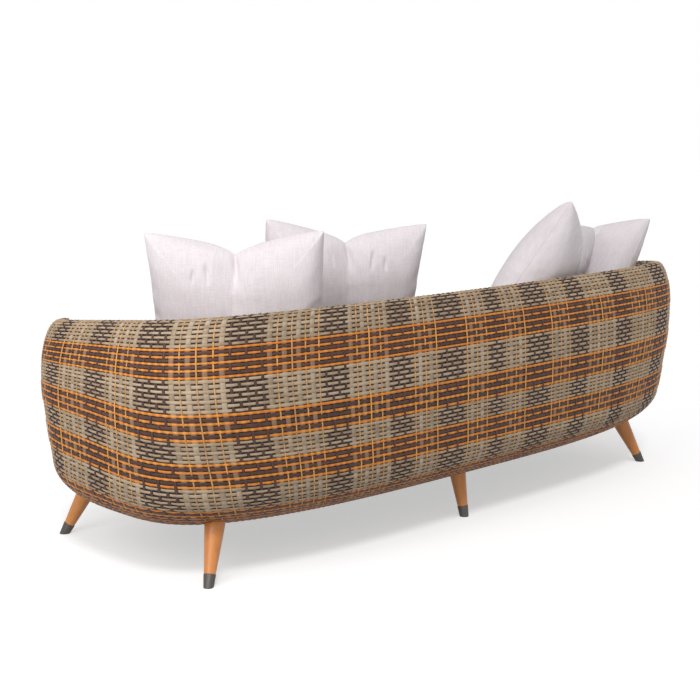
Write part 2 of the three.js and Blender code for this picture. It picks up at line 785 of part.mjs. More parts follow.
// Reaches 1 on the edge of a cushion: the tub behind, the arm's end, the other cushion and the front
function cushionReach(x, y) {
  const { halfX, backY, power } = cushionOutline;
  const narrowShare = THREE.MathUtils.smoothstep(-y, narrowFrom, narrowTo);
  const sideX = halfX - (halfX - cushionTipX) * narrowShare;
  const tub = y > 0 ? (Math.abs(x / halfX) ** power + (y / backY) ** power) ** (1 / power) : x / sideX;
  const middle = (cushionCentre.x - x) / (cushionCentre.x - softGap / 2);
  const frontX = THREE.MathUtils.clamp(x, 0, armCut);
  const frontY = frontEdgeY(apronOutline, frontX) + seat.cushionFrontInset;
  const front = (cushionCentre.y - y) / (cushionCentre.y - frontY);
  const sides = [tub, middle, front].map((side) => Math.max(0, side) ** cushionCornerPower);
  return sides.reduce((sum, side) => sum + side, 0) ** (1 / cushionCornerPower);
}

// Distance from the middle of a cushion to its edge, which is drawn in between its corners
function edgeReach(way) {
  let low = 0;
  let high = shell.length;
  for (let i = 0; i < counts.search; i++) {
    const middle = (low + high) / 2;
    const at = cushionCentre.clone().addScaledVector(way, middle);
    if (cushionReach(at.x, at.y) < 1) low = middle;
    else high = middle;
  }
  const angle = Math.atan2(way.y / shell.depth, way.x / halfLength);
  return low - seat.cushionDrawIn * Math.cos(2 * angle) ** 2;
}

function cushionEdge(angle) {
  const way = new THREE.Vector2(halfLength * Math.cos(angle), shell.depth * Math.sin(angle)).normalize();
  return { way, reach: edgeReach(way) };
}

// Height of the crown of a seat cushion, on a share of the way from its middle to its edge
function crownHeight(share) {
  return cushionTop + seat.cushionCrown * (1 - Math.min(1, share) ** 2);
}

function seatHeightAt(x, y) {
  const way = new THREE.Vector2(Math.abs(x), y).sub(cushionCentre);
  const distance = way.length();
  return crownHeight(distance / (edgeReach(way.normalize()) - seat.cushionEdge));
}

function cushionGeometry(sign) {
  const turns = rowLevels(0, 2 * Math.PI, counts.cushion).slice(0, -1);
  const edges = turns.map(cushionEdge);
  if (sign < 0) edges.reverse();
  const ring = (reachOf, z) => edges.map(({ way, reach }) => {
    const at = cushionCentre.clone().addScaledVector(way, reachOf(reach));
    return new THREE.Vector3(sign * at.x, at.y, z);
  });
  const round = seat.cushionEdge;
  const rise = seat.cushionEdgeHeight;
  const profile = [[round, 0], [round / 4, rise / 4], [0, rise]];
  const rounded = (inset, z) => ring((reach) => reach - inset, z);
  const up = profile.map(([inset, height]) => rounded(inset, cushionBottom + height));
  const down = profile.map(([inset, height]) => rounded(inset, cushionTop - height)).reverse();
  const crown = rowLevels(1, 0, counts.cushionTop).slice(1, -1).map((share) =>
    ring((reach) => (reach - round) * share, crownHeight(share)));
  const tip = (z) => new THREE.Vector3(sign * cushionCentre.x, cushionCentre.y, z);
  return ringedGeometry([...up, ...down, ...crown], tip(cushionBottom), tip(cushionTop + seat.cushionCrown));
}

// Closed body from rings of points, one above the other, with a point at each end
function ringedGeometry(rings, bottom, top) {
  const count = rings[0].length;
  const points = [...rings.flat(), bottom, top];
  const last = (rings.length - 1) * count;
  const index = [];
  for (let i = 0; i < count; i++) {
    const next = (i + 1) % count;
    index.push(points.length - 2, next, i);
    index.push(last + i, last + next, points.length - 1);
    for (let k = 0; k < last; k += count) {
      index.push(k + i, k + next, k + count + next, k + i, k + count + next, k + count + i);
    }
  }
  const geometry = new THREE.BufferGeometry();
  geometry.setAttribute("position", new THREE.Float32BufferAttribute(points.flatMap((p) => p.toArray()), 3));
  geometry.setIndex(index);
  return geometry;
}
add("seat_cushion_left", cushionGeometry(1), finishes.fabric);
add("seat_cushion_right", cushionGeometry(-1), finishes.fabric);

// A scatter cushion: plump, drawn in between its corners, with a chop in the top edge and a crease
function pillowPoint(u, v, face) {
  const half = pillow.width / 2;
  const topShare = (v + 1) / 2;
  const notch = Math.max(0, 1 - Math.abs(u) / pillow.chopWidthShare) ** 1.5 * topShare ** 2;
  const crease = pillow.creaseShare * Math.exp(-((u / pillow.creaseWidthShare) ** 2)) * topShare ** 2;
  const drawn = (share) => 1 - pillow.drawInShare * Math.cos((Math.PI * share) / 2);
  const x = half * u * drawn(v);
  const y = half * (1 + v * drawn(u)) - pillow.chopDepth * notch;
  const full = ((1 - u * u) * (1 - v * v)) ** pillow.fullnessPower * (1 - crease);
  return new THREE.Vector3(x, y, (face * (pillow.edgeThick + (pillow.thick - pillow.edgeThick) * full)) / 2);
}

function pillowGeometry() {
  const shares = rowLevels(-Math.PI / 2, Math.PI / 2, counts.pillow).map((turn) => Math.sin(turn));
  const faces = [1, -1].map((face) => shares.flatMap((v) => shares.map((u) => pillowPoint(u, v, face))));
  const triangles = [];
  const wide = counts.pillow + 1;
  for (let j = 0; j < counts.pillow; j++) {
    for (let i = 0; i < counts.pillow; i++) {
      const a = j * wide + i;
      triangles.push([a, a + 1, a + wide + 1], [a, a + wide + 1, a + wide]);
    }
  }
  return closedGeometry(...faces, triangles);
}

function placePillow(name, place, sign) {
  const [facing, lean, roll] = [place.facing, place.lean, place.roll].map(THREE.MathUtils.degToRad);
  const across = new THREE.Vector3(-Math.sin(facing), Math.cos(facing), 0);
  const face = new THREE.Vector3(Math.cos(facing), Math.sin(facing), Math.tan(lean)).normalize();
  const basis = new THREE.Matrix4().makeBasis(across, face.clone().cross(across), face);
  const geometry = pillowGeometry().applyMatrix4(new THREE.Matrix4().makeRotationZ(roll)).applyMatrix4(basis);
  geometry.translate(sign * (halfLength - place.fromEnd), halfDepth - place.fromBack, 0);
  const at = geometry.attributes.position;
  let clearance = shell.length;
  for (let i = 0; i < at.count; i++) {
    clearance = Math.min(clearance, at.getZ(i) - seatHeightAt(at.getX(i), at.getY(i)));
  }
  add(name, geometry.translate(0, 0, seatGap - clearance), finishes.fabric);
}
for (const [name, place] of Object.entries(leftPillowPlaces)) placePillow(name, place, 1);
for (const [name, place] of Object.entries(rightPillowPlaces)) placePillow(name, place, -1);

export default sofa;
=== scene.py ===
"""Dresses the woven garden sofa in its strands, turned legs and cushions, and lights it."""
import json
import logging
import math
from contextlib import contextmanager
from dataclasses import dataclass, field
from enum import Enum
from typing import Any, Callable, Iterable, Iterator, Sequence

import bmesh
import bpy
import numpy as np
from bmesh.types import BMesh
from bpy.types import ID, Material, Mesh, NodeSocket, Object
from mathutils import Matrix, Vector
from mathutils.bvhtree import BVHTree


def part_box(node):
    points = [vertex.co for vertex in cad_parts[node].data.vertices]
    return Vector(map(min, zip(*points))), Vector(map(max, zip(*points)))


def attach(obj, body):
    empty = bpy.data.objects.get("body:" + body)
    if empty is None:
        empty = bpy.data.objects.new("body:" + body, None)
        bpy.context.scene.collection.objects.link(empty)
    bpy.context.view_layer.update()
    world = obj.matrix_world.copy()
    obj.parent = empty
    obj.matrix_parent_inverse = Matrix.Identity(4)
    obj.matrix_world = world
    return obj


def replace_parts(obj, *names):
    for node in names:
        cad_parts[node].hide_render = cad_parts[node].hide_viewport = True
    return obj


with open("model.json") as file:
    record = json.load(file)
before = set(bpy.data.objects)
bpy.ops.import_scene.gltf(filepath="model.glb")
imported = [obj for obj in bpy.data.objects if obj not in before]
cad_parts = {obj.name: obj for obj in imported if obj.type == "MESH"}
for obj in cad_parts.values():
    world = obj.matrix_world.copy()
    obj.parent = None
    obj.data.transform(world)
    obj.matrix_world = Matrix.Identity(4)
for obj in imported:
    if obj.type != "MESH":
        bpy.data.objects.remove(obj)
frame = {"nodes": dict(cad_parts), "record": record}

log = logging.getLogger("sofa")
Array = np.ndarray
Colour = tuple[float, float, float]
BODY = "root"
STAKE_PITCH = 0.0224
TONE_STEP = 0.377


def srgb(red: int, green: int, blue: int) -> Colour:
    """Returns a linear colour from the three numbers, 0 to 255, that a picture shows."""
    shares = [value / 255 for value in (red, green, blue)]
    return tuple(s / 12.92 if s <= 0.04045 else ((s + 0.055) / 1.055) ** 2.4 for s in shares)


class Slot(Enum):
    """Material slots of the record."""

    WEAVE = "weave"
    FRAME = "frame"
    WOOD = "wood"
    FERRULE = "ferrule"
    BOARD = "board"
    SEAT_FABRIC = "seat_fabric"
    SCATTER_FABRIC = "scatter_fabric"


@dataclass(frozen=True)
class Grain:
    """Noise on a piece: its stretch on each axis, how fine it is, its octaves and their share."""

    stretch: tuple[float, float, float] = (1.0, 1.0, 1.0)
    scale: float = 1.0
    detail: float = 2.0
    roughness: float = 0.5


class Wire:
    """A number on its way through a material. Arithmetic on it adds Math nodes."""

    def __init__(self, paint: "Paint", socket: NodeSocket) -> None:
        """Wraps an output socket of a material that is being made."""
        self.paint = paint
        self.socket = socket

    def _math(self, operation: str, *values: Any) -> "Wire":
        """Adds a Math node of an operation on numbers or wires, in order, and returns the result."""
        return self.paint.node("ShaderNodeMath", {"operation": operation}, dict(enumerate(values)))

    def __add__(self, other: Any) -> "Wire":
        """Returns the sum."""
        return self._math("ADD", self, other)

    __radd__ = __add__

    def __sub__(self, other: Any) -> "Wire":
        """Returns the difference."""
        return self._math("SUBTRACT", self, other)

    def __rsub__(self, other: Any) -> "Wire":
        """Returns the difference from a plain number."""
        return self._math("SUBTRACT", other, self)

    def __mul__(self, other: Any) -> "Wire":
        """Returns the product."""
        return self._math("MULTIPLY", self, other)

    __rmul__ = __mul__

    def __truediv__(self, other: Any) -> "Wire":
        """Returns the quotient."""
        return self._math("DIVIDE", self, other)

    def sine(self) -> "Wire":
        """Returns the sine."""
        return self._math("SINE", self)

    def power(self, exponent: float) -> "Wire":
        """Returns the wire to a power."""
        return self._math("POWER", self, exponent)

    def size(self) -> "Wire":
        """Returns the value without its sign."""
        return self._math("ABSOLUTE", self)

    def ramp(self, low: float, high: float) -> "Wire":
        """Returns a smooth step from 0 at low to 1 at high."""
        return self.paint.node("ShaderNodeMapRange", {"interpolation_type": "SMOOTHSTEP"}, {0: self, 1: low, 2: high})


class Paint:
    """Builds one node material around a Principled shader."""

    def __init__(self, name: str) -> None:
        """Starts an empty material.

        Args:
            name: Name of the material.
        """
        self.material = bpy.data.materials.new(name)
        self.material.use_nodes = True
        self.tree = self.material.node_tree
        self.tree.nodes.clear()
        self.shader = self.tree.nodes.new("ShaderNodeBsdfPrincipled")
        self.out = self.tree.nodes.new("ShaderNodeOutputMaterial")
        self.tree.links.new(self.shader.outputs[0], self.out.inputs["Surface"])

    def node(self, kind: str, settings: dict[str, Any] | None = None, inputs: dict[Any, Any] | None = None,
             output: int | str = 0) -> Wire:
        """Adds a node, sets it and feeds it.

        Args:
            kind: Blender's name of the node type.
            settings: Properties that are set first.
            inputs: Numbers, colours or wires by the name or number of their socket.
            output: The output that is wanted.

        Returns:
            The output as a wire.
        """
        made = self.tree.nodes.new(kind)
        for name, value in (settings or {}).items():
            setattr(made, name, value)
        for key, value in (inputs or {}).items():
            self.feed(made.inputs[key], value)
        return Wire(self, made.outputs[output])

    def feed(self, socket: NodeSocket, value: Any) -> None:
        """Links a wire to a socket or sets its number, vector or colour.

        Args:
            socket: The input socket.
            value: A wire, a number or a row of three numbers.
        """
        if isinstance(value, Wire):
            self.tree.links.new(value.socket, socket)
        elif isinstance(value, (int, float)):
            socket.default_value = value
        else:
            socket.default_value = (*value, 1.0) if socket.type == "RGBA" else tuple(value)

    def set(self, **values: Any) -> "Paint":
        """Sets inputs of the shader.

        Args:
            values: Values by the names of the inputs, with underscores for blanks.

        Returns:
            This material, for more settings.
        """
        for name, value in values.items():
            self.feed(self.shader.inputs[name.replace("_", " ")], value)
        return self

    def place(self, scale: Sequence[float] = (1, 1, 1)) -> Wire:
        """Gives the object's own coordinates, scaled, as a vector wire."""
        where = self.node("ShaderNodeTexCoord", output="Object")
        return self.node("ShaderNodeMapping", None, {"Vector": where, "Scale": scale})

    def own(self, name: str, scale: Sequence[float] = (1, 1, 1)) -> Wire:
        """Gives a vector attribute of the piece, with a factor on each part, as a vector wire."""
        value = self.node("ShaderNodeAttribute", {"attribute_name": name}, output="Vector")
        return self.node("ShaderNodeVectorMath", {"operation": "MULTIPLY"}, {0: value, 1: scale})

    def parts(self, vector: Wire) -> tuple[Wire, Wire, Wire]:
        """Splits a vector wire.

        Args:
            vector: The vector wire.

        Returns:
            Its three numbers as wires.
        """
        made = self.tree.nodes.new("ShaderNodeSeparateXYZ")
        self.feed(made.inputs[0], vector)
        return tuple(Wire(self, output) for output in made.outputs)

    def noise(self, grain: Grain, attribute: str | None = None) -> Wire:
        """Gives smooth noise between 0 and 1.

        Args:
            grain: The noise.
            attribute: The vector attribute that it follows, or None for the object's own coordinates.

        Returns:
            The noise as a wire.
        """
        where = self.own(attribute, grain.stretch) if attribute else self.place(grain.stretch)
        return self.node("ShaderNodeTexNoise", None, {"Vector": where, "Scale": grain.scale, "Detail": grain.detail,
                                                      "Roughness": grain.roughness})

    def mix(self, share: Any, first: Any, second: Any) -> Wire:
        """Mixes two colours or wires by how much of the second shows, from 0 to 1."""
        return self.node("ShaderNodeMix", {"data_type": "RGBA"}, {0: share, 6: first, 7: second}, output=2)

    def bump(self, height: Wire, depth: float, strength: float = 1.0) -> "Paint":
        """Feeds a height, 0 to 1 and as deep as given in metres, to the shader's normal, and returns itself."""
        normal = self.node("ShaderNodeBump", None, {"Strength": strength, "Distance": depth, "Height": height})
        return self.set(Normal=normal)


@dataclass(frozen=True)
class StrandFinish:
    """Round plastic strand with fine lengthwise streaks that carry a painted highlight, each strand a little different.
    """

    name: str
    light: Colour
    dark: Colour
    glint: Colour
    roughness: float = 0.46
    # Shares of painted shade at the strand's edges and in its dips between stakes.
    edge: float = 0.55
    beat: float = 0.0
    dyed: Colour | None = None
    spans: tuple[tuple[float, float], ...] = ()
    span_blur: float = 0.002
    # Painted shade towards the floor: the height where each band of it starts and ends, and its share.
    shades_below: tuple[tuple[float, float, float], ...] = ((0.13, 0.25, 0.45), (0.34, 0.56, 0.15))
    whole: Grain = Grain((0.35, 0.0, 57.0), 3.0, 1.0)
    patch: Grain = Grain((9.0, 0.0, 43.0), 3.0, 1.0)
    streak: Grain = Grain((26.0, 5.5, 31.0), 5.0, 3.0, 0.6)
    whole_share: float = 0.55
    tone_step: tuple[float, float] = (0.36, 0.64)
    glint_step: tuple[float, float] = (0.5, 0.78)
    glint_share: float = 0.55
    beat_step: tuple[float, float] = (0.2, 0.7)
    edge_step: tuple[float, float] = (0.66, 1.0)
    deep_beat: float = 0.4
    deep_edge: float = 0.35
    deep_floor: float = 0.3
    rough_streak: float = 0.2
    relief: tuple[float, float] = (0.0004, 0.5)

    def _deep(self, share: float) -> Colour:
        """Returns the dark colour at a share of its brightness, for the painted shade."""
        return tuple(share * part for part in self.dark)

    def _band(self, along: Wire) -> Wire:
        """Finds the spans of a strand's length, on either side of the rim.

        Args:
            along: Metres along the strand.

        Returns:
            A wire that is 1 in a span and 0 elsewhere.
        """
        place, blur = along.size(), self.span_blur
        inside = [place.ramp(low, low + blur) - place.ramp(high - blur, high) for low, high in self.spans]
        return sum(inside[1:], inside[0])

    def make(self) -> Material:
        """Makes the material, which reads the strand attribute: metres along, across and a number.

        Returns:
            The material.
        """
        paint = Paint(self.name)
        whole, patch, streak = (paint.noise(grain, "strand") for grain in (self.whole, self.patch, self.streak))
        share = (whole * self.whole_share + patch * (1 - self.whole_share)).ramp(*self.tone_step)
        tone = paint.mix(share, self.dark, self.light)
        # Painted highlight: the glint colour, brighter than the strand, is laid along its lengthwise streaks.
        colour = paint.mix(streak.ramp(*self.glint_step) * self.glint_share, tone, self.glint)
        along, across, _ = paint.parts(paint.own("strand"))
        if self.dyed is not None:
            colour = paint.mix(self._band(along), colour, paint.mix(streak, self.dyed, self.dark))
        # Painted shade: the strand darkens midway between stakes, where it dips between them.
        if self.beat:
            dip = 0.5 - 0.5 * (along * (2 * math.pi / STAKE_PITCH) + math.pi / 2).sine()
            colour = paint.mix(dip * self.beat * whole.ramp(*self.beat_step), colour, self._deep(self.deep_beat))
        # Painted shade: the strand darkens towards both edges, where it meets its neighbours.
        edge = ((across - 0.5).size() * 2).ramp(*self.edge_step) * self.edge
        # Painted shade: the strands darken towards the floor, most under the belly.
        _, _, height = paint.parts(paint.place())
        low, high = ((1 - height.ramp(start, end)) * share for start, end, share in self.shades_below)
        edge_shaded = paint.mix(edge, colour, self._deep(self.deep_edge))
        shaded = paint.mix(low + high, edge_shaded, self._deep(self.deep_floor))
        paint.set(Base_Color=shaded, Roughness=self.roughness + self.rough_streak * streak, IOR=1.46)
        return paint.bump(streak, *self.relief).material


@dataclass(frozen=True)
class DepthShadeFinish:
    """Painted shade: dark depth between the strands, where their shaded undersides show."""

    name: str = "weave_depth"
    dark: Colour = srgb(38, 27, 20)
    light: Colour = srgb(66, 48, 36)
    cells: Grain = Grain((1.0, 1.0, 2.2), 60.0)
    tone_step: tuple[float, float] = (0.35, 0.7)
    roughness: tuple[float, float] = (0.85, 0.2)
    relief: tuple[float, float] = (0.001, 0.6)

    def make(self) -> Material:
        """Makes the material, on the object's own coordinates.

        Returns:
            The material.
        """
        paint = Paint(self.name)
        cells = paint.noise(self.cells)
        paint.set(Base_Color=paint.mix(cells.ramp(*self.tone_step), self.dark, self.light),
                  Roughness=self.roughness[0] - self.roughness[1] * cells)
        return paint.bump(cells, *self.relief).material


@dataclass(frozen=True)
class WoodFinish:
    """Oiled turned wood with its grain along the leg."""

    name: str = "oiled_wood"
    light: Colour = srgb(213, 142, 73)
    middle: Colour = srgb(196, 120, 57)
    dark: Colour = srgb(146, 82, 38)
    figure: Grain = Grain((1.0, 1.0, 0.09), 46.0, 4.0, 0.55)
    pores: Grain = Grain((1.0, 1.0, 0.04), 330.0, 2.0, 0.7)
    broad: Grain = Grain((1.0, 1.0, 0.25), 9.0, 1.0)
    rings: float = 9.0
    sharpness: float = 1.6
    broad_step: tuple[float, float] = (0.3, 0.7)
    line_share: float = 0.42
    pore_step: tuple[float, float] = (0.6, 0.74)
    pore_share: float = 0.5
    roughness: tuple[float, float] = (0.38, 0.16)
    relief: tuple[float, float] = (0.0003, 0.5)

    def make(self) -> Material:
        """Makes the material, with stretched noise for the grain and fine dark pores.

        Returns:
            The material.
        """
        paint = Paint(self.name)
        lines = ((paint.noise(self.figure) * self.rings).sine() * 0.5 + 0.5).power(self.sharpness)
        pores = paint.noise(self.pores)
        base = paint.mix(paint.noise(self.broad).ramp(*self.broad_step), self.middle, self.light)
        grained = paint.mix(lines * self.line_share, base, self.dark)
        colour = paint.mix(pores.ramp(*self.pore_step) * self.pore_share, grained, self.dark)
        paint.set(Base_Color=colour, Roughness=self.roughness[0] + self.roughness[1] * lines,
                  Coat_Weight=0.12, Coat_Roughness=0.3)
        return paint.bump(pores * 0.5 + lines * 0.5, *self.relief).material


@dataclass(frozen=True)
class MetalFinish:
    """Satin or powder-coated metal with fine speckle and rubbed spots."""

    name: str
    colour: Colour
    worn: Colour
    metallic: float
    roughness: float
    speckle: Grain = Grain(scale=900.0, detail=1.0)
    cloud: Grain = Grain(scale=14.0, detail=3.0, roughness=0.6)
    worn_step: tuple[float, float] = (0.45, 0.75)
    rough_cloud: float = 0.14
    relief: tuple[float, float] = (0.00012, 0.5)

    def make(self) -> Material:
        """Makes the material, on the object's own coordinates.

        Returns:
            The material.
        """
        paint = Paint(self.name)
        cloud = paint.noise(self.cloud)
        paint.set(Base_Color=paint.mix(cloud.ramp(*self.worn_step), self.colour, self.worn),
                  Roughness=self.roughness + self.rough_cloud * cloud, Metallic=self.metallic)
        return paint.bump(paint.noise(self.speckle), *self.relief).material


@dataclass(frozen=True)
class BoardFinish:
    """Plain brown board under the cushions, with long faint grain."""

    name: str = "deck_board"
    light: Colour = srgb(150, 122, 92)
    dark: Colour = srgb(112, 86, 60)
    grain: Grain = Grain((0.06, 1.0, 1.0), 70.0, 4.0, 0.6)
    tone_step: tuple[float, float] = (0.3, 0.72)
    roughness: tuple[float, float] = (0.72, 0.1)
    relief: tuple[float, float] = (0.0005, 0.4)

    def make(self) -> Material:
        """Makes the material, with the grain along the sofa.

        Returns:
            The material.
        """
        paint = Paint(self.name)
        grain = paint.noise(self.grain)
        paint.set(Base_Color=paint.mix(grain.ramp(*self.tone_step), self.light, self.dark),
                  Roughness=self.roughness[0] - self.roughness[1] * grain)
        return paint.bump(grain, *self.relief).material


@dataclass(frozen=True)
class FabricFinish:
    """Plain-woven outdoor cloth with slubs, on the cushion's own axes."""

    name: str
    light: Colour
    dark: Colour
    thread: float = 0.0017
    slub_up: Grain = Grain((420.0, 26.0, 26.0))
    slub_across: Grain = Grain((26.0, 420.0, 420.0))
    cloud: Grain = Grain(scale=7.0, detail=3.0, roughness=0.55)
    folds: Grain = Grain((1.0, 0.6, 0.8), 13.0)
    slub_step: tuple[float, float] = (0.38, 0.62)
    cloud_step: tuple[float, float] = (0.3, 0.7)
    shares: tuple[float, float, float] = (0.5, 0.3, 0.2)
    heights: tuple[float, float, float] = (0.4, 9.0, 0.3)
    roughness: tuple[float, float] = (0.93, 0.1)
    relief: tuple[float, float] = (0.0012, 0.5)

    def make(self) -> Material:
        """Makes the material, which reads the cloth attribute: places on the cushion, in metres.

        Returns:
            The material.
        """
        paint = Paint(self.name)
        rate = 2 * math.pi / self.thread
        across, up, out = paint.parts(paint.own("cloth"))
        warp = (across * rate).sine()
        weft = ((up + out) * rate).sine()
        thread = (warp * weft) * 0.5 + 0.5
        slub = (paint.noise(self.slub_up, "cloth") + paint.noise(self.slub_across, "cloth")) * 0.5
        cloud, folds = paint.noise(self.cloud, "cloth"), paint.noise(self.folds, "cloth")
        by_slub, by_cloud, by_thread = self.shares
        tone = slub.ramp(*self.slub_step) * by_slub + cloud.ramp(*self.cloud_step) * by_cloud + thread * by_thread
        paint.set(Base_Color=paint.mix(tone, self.dark, self.light),
                  Roughness=self.roughness[0] - self.roughness[1] * slub,
                  Sheen_Weight=0.25, Sheen_Roughness=0.45, Sheen_Tint=(1.0, 0.98, 1.0))
        of_slub, of_folds, of_thread = self.heights
        return paint.bump(thread * of_thread + slub * of_slub + folds * of_folds, *self.relief).material


@dataclass
class Shell:
    """The woven shell as formulas, in metres. A level runs from 0 at the underside to 1 at the rim."""

    length: float = 2.3
    depth: float = 0.897
    floor_gap: float = 0.117
    rim_back: float = 0.741
    rim_front: float = 0.650
    rim_sag: float = 0.012
    belly_height: float = 0.145
    belly_inset: float = 0.270
    belly_shift: float = 0.040
    hem_inset: float = 0.205
    shoulder_height: float = 0.275
    shoulder_inset: float = 0.065
    roll_height: float = 0.090
    inner_rim_inset: float = 0.112
    inner_seat_inset: float = 0.140
    arm_cut: float = 1.0
    depth_inset_share: float = 0.86
    tip_roll_share: float = 0.32
    return_share: float = 0.6
    low_power: float = 3.1
    high_power: float = 5.8
    arm_power: float = 10.0
    deck_top: float = 0.305
    lip_radius: float = 0.016
    stakes: int = 170
    cap_stakes: int = 4
    front_stakes: int = 88
    gauge_height: float = 0.52
    gauge_share: float = 0.3
    ring_points: int = 6001
    side_points: int = 4001
    deck_clear: float = 0.006
    rise_levels: tuple[float, ...] = (0, 0.148, 0.3, 0.477, 0.604, 0.757, 0.889, 1.0)
    rises: tuple[float, ...] = (0, 0.052, 0.062, 0.078, 0.066, 0.034, 0.014, 0)
    rise_places: tuple[float, ...] = (0.063, 0.15, 0.25, 0.3, 0.4, 0.5)
    rise_gains: tuple[float, ...] = (1, 0.6, 0.1, -0.1, -0.3, -0.35)

    def __post_init__(self) -> None:
        """Works out the levels of its edges, the shares of its stakes and the length down its side."""
        self.wall = self.rim_back - self.floor_gap
        self.apron = self.level_of(self.deck_top - self.lip_radius)
        self.seat = self.level_of(self.deck_top) + self.deck_clear
        belly = self.belly_height / self.wall
        self.hem = belly * (1 - math.sin(math.acos(1 - self.hem_inset / self.belly_inset)))
        shares = np.linspace(0.0, 1.0, self.ring_points)
        ring = self.outer(shares, np.full_like(shares, self.level_of(self.gauge_height)))
        self.stake_shares = self._even(ring, shares, self.stakes)
        levels = 1 - np.linspace(0.0, 1.0, self.side_points) ** 2 * (1 - self.hem)
        side = self.outer(np.full_like(levels, self.gauge_share), levels)
        steps = np.linalg.norm(np.diff(side, axis=0), axis=1)
        self.gauge_levels = levels
        self.gauge_arcs = np.concatenate([[0.0], np.cumsum(steps)])
        self.upper_count = 2 * (self.stakes + self.cap_stakes)
        self.lower_count = self.stakes + self.front_stakes

    @staticmethod
    def _even(points: Array, marks: Array, count: int) -> Array:
        """Returns the marks of points that lie evenly along a row, from its first to its last."""
        arcs = np.concatenate([[0.0], np.cumsum(np.linalg.norm(np.diff(points, axis=0), axis=1))])
        return np.interp(np.linspace(0, arcs[-1], count + 1), arcs, marks)

    def level_of(self, height: float) -> float:
        """Returns the level of a height on the highest part of the shell."""
        return (height - self.floor_gap) / self.wall

    def height(self, x: Array, y: Array, level: Array) -> Array:
        """Gives the height of a level, which fans above the seat so that the last follows the rim.

        Args:
            x: Places along the sofa.
            y: Places across it.
            level: Levels.

        Returns:
            Heights over the floor.
        """
        back = np.clip((y + self.depth / 2) / self.depth, 0, 1)
        bow = 1 - (x / (self.length / 2)) ** 2
        rim = self.rim_front + (self.rim_back - self.rim_front) * back - self.rim_sag * bow
        fan = np.maximum(0, (level - self.apron) / (1 - self.apron))
        return self.floor_gap + self.wall * level - (self.rim_back - rim) * fan

    @staticmethod
    def _round(share: Array) -> Array:
        """Returns how far a quarter round has drawn in at a share of its height."""
        return 1 - np.sqrt(np.maximum(0, 1 - np.maximum(0, share) ** 2))

    def _outer_plan(self, level: Array) -> tuple[Array, ...]:
        """Gives the outer outline of a level.

        Args:
            level: Levels.

        Returns:
            Half length, half depths behind and in front, powers for both, shift and inset.
        """
        belly = self._round(1 - level / (self.belly_height / self.wall))
        shoulder = self._round(1 - (1 - level) * self.wall / self.shoulder_height)
        inset = self.belly_inset * belly + self.shoulder_inset * shoulder
        half = self.depth / 2 - inset * self.depth_inset_share
        power = self.low_power + (self.high_power - self.low_power) * level
        return self.length / 2 - inset, half, half, power, power, -self.belly_shift * belly, inset

    def _inner_plan(self, level: Array) -> tuple[Array, ...]:
        """Gives the outline towards the sitter.

        Args:
            level: Levels.

        Returns:
            The same seven as for the outer outline.
        """
        _, _, front, power, _, shift, outer_inset = self._outer_plan(level)
        drop = (1 - level) * self.wall
        roll = np.minimum(1, drop / self.roll_height)
        rolled = (self.inner_rim_inset - self.shoulder_inset) * np.sqrt(np.maximum(0, roll * (2 - roll)))
        wall = (1 - self.level_of(self.deck_top)) * self.wall - self.roll_height
        down = np.clip((drop - self.roll_height) / wall, 0, 1)
        inset = self.shoulder_inset + rolled + (self.inner_seat_inset - self.inner_rim_inset) * down
        thick = (inset - outer_inset) * self.depth_inset_share
        back = self.depth / 2 - inset * self.depth_inset_share
        front_power = power + (self.arm_power - power) * roll
        return self.length / 2 - inset, back, front - thick * self.return_share, power, front_power, shift, inset

    @staticmethod
    def _on(plan: tuple[Array, ...], angle: Array) -> tuple[Array, Array]:
        """Gives the points of an outline at an angle.

        Args:
            plan: The outline.
            angle: Angles from the X axis, in radians.

        Returns:
            Places along the sofa and across it.
        """
        half_x, back, front, power, front_power, shift, _ = plan
        c, s = np.cos(angle), np.sin(angle)
        power = np.where(s < 0, front_power, power)
        reach = (np.abs(c) ** power + np.abs(s) ** power) ** (-1 / power)
        return half_x * c * reach, np.where(s < 0, front, back) * s * reach + shift

    def _cut(self, plan: tuple[Array, ...]) -> Array:
        """Returns the angle below the X axis at which an outline turns in at the end of the arm."""
        return np.arctan(((plan[0] / self.arm_cut) ** plan[4] - 1) ** (1 / plan[4]))

    def outer(self, share: Array, level: Array) -> Array:
        """Gives points of the outer face.

        Args:
            share: Shares of the way from the left arm round the back to the right arm.
            level: Levels.

        Returns:
            Points, one a row.
        """
        cut = self._cut(self._outer_plan(np.maximum(level, self.apron)))
        x, y = self._on(self._outer_plan(level), -cut + (math.pi + 2 * cut) * share)
        return np.stack([x, y, self.height(x, y, level)], -1)

    def inner(self, share: Array, level: Array) -> Array:
        """Gives points of the face towards the sitter.

        Args:
            share: Shares of the way, as for the outer face.
            level: Levels.

        Returns:
            Points, one a row.
        """
        plan = self._inner_plan(level)
        cut = self._cut(plan)
        x, y = self._on(plan, -cut + (math.pi + 2 * cut) * share)
        return np.stack([x, y, self.height(x, y, level)], -1)

    def cap(self, sign: float, share: Array, level: Array) -> Array:
        """Gives points of the rounded end of an arm.

        Args:
            sign: 1 on the left arm and -1 on the right one.
            share: 0 on the outer face and 1 on the inner one.
            level: Levels.

        Returns:
            Points, one a row.
        """
        half_x, _, front, _, power, shift, _ = self._outer_plan(level)
        start = shift - front * (1 - (self.arm_cut / half_x) ** power) ** (1 / power)
        end = self.inner(np.zeros_like(level), level)[:, 1]
        x = sign * (self.arm_cut - self.tip_roll_share * (end - start) * np.sin(math.pi * share))
        y = start + (end - start) * (1 - np.cos(math.pi * share)) / 2
        return np.stack([x, y, self.height(x, y, level)], -1)

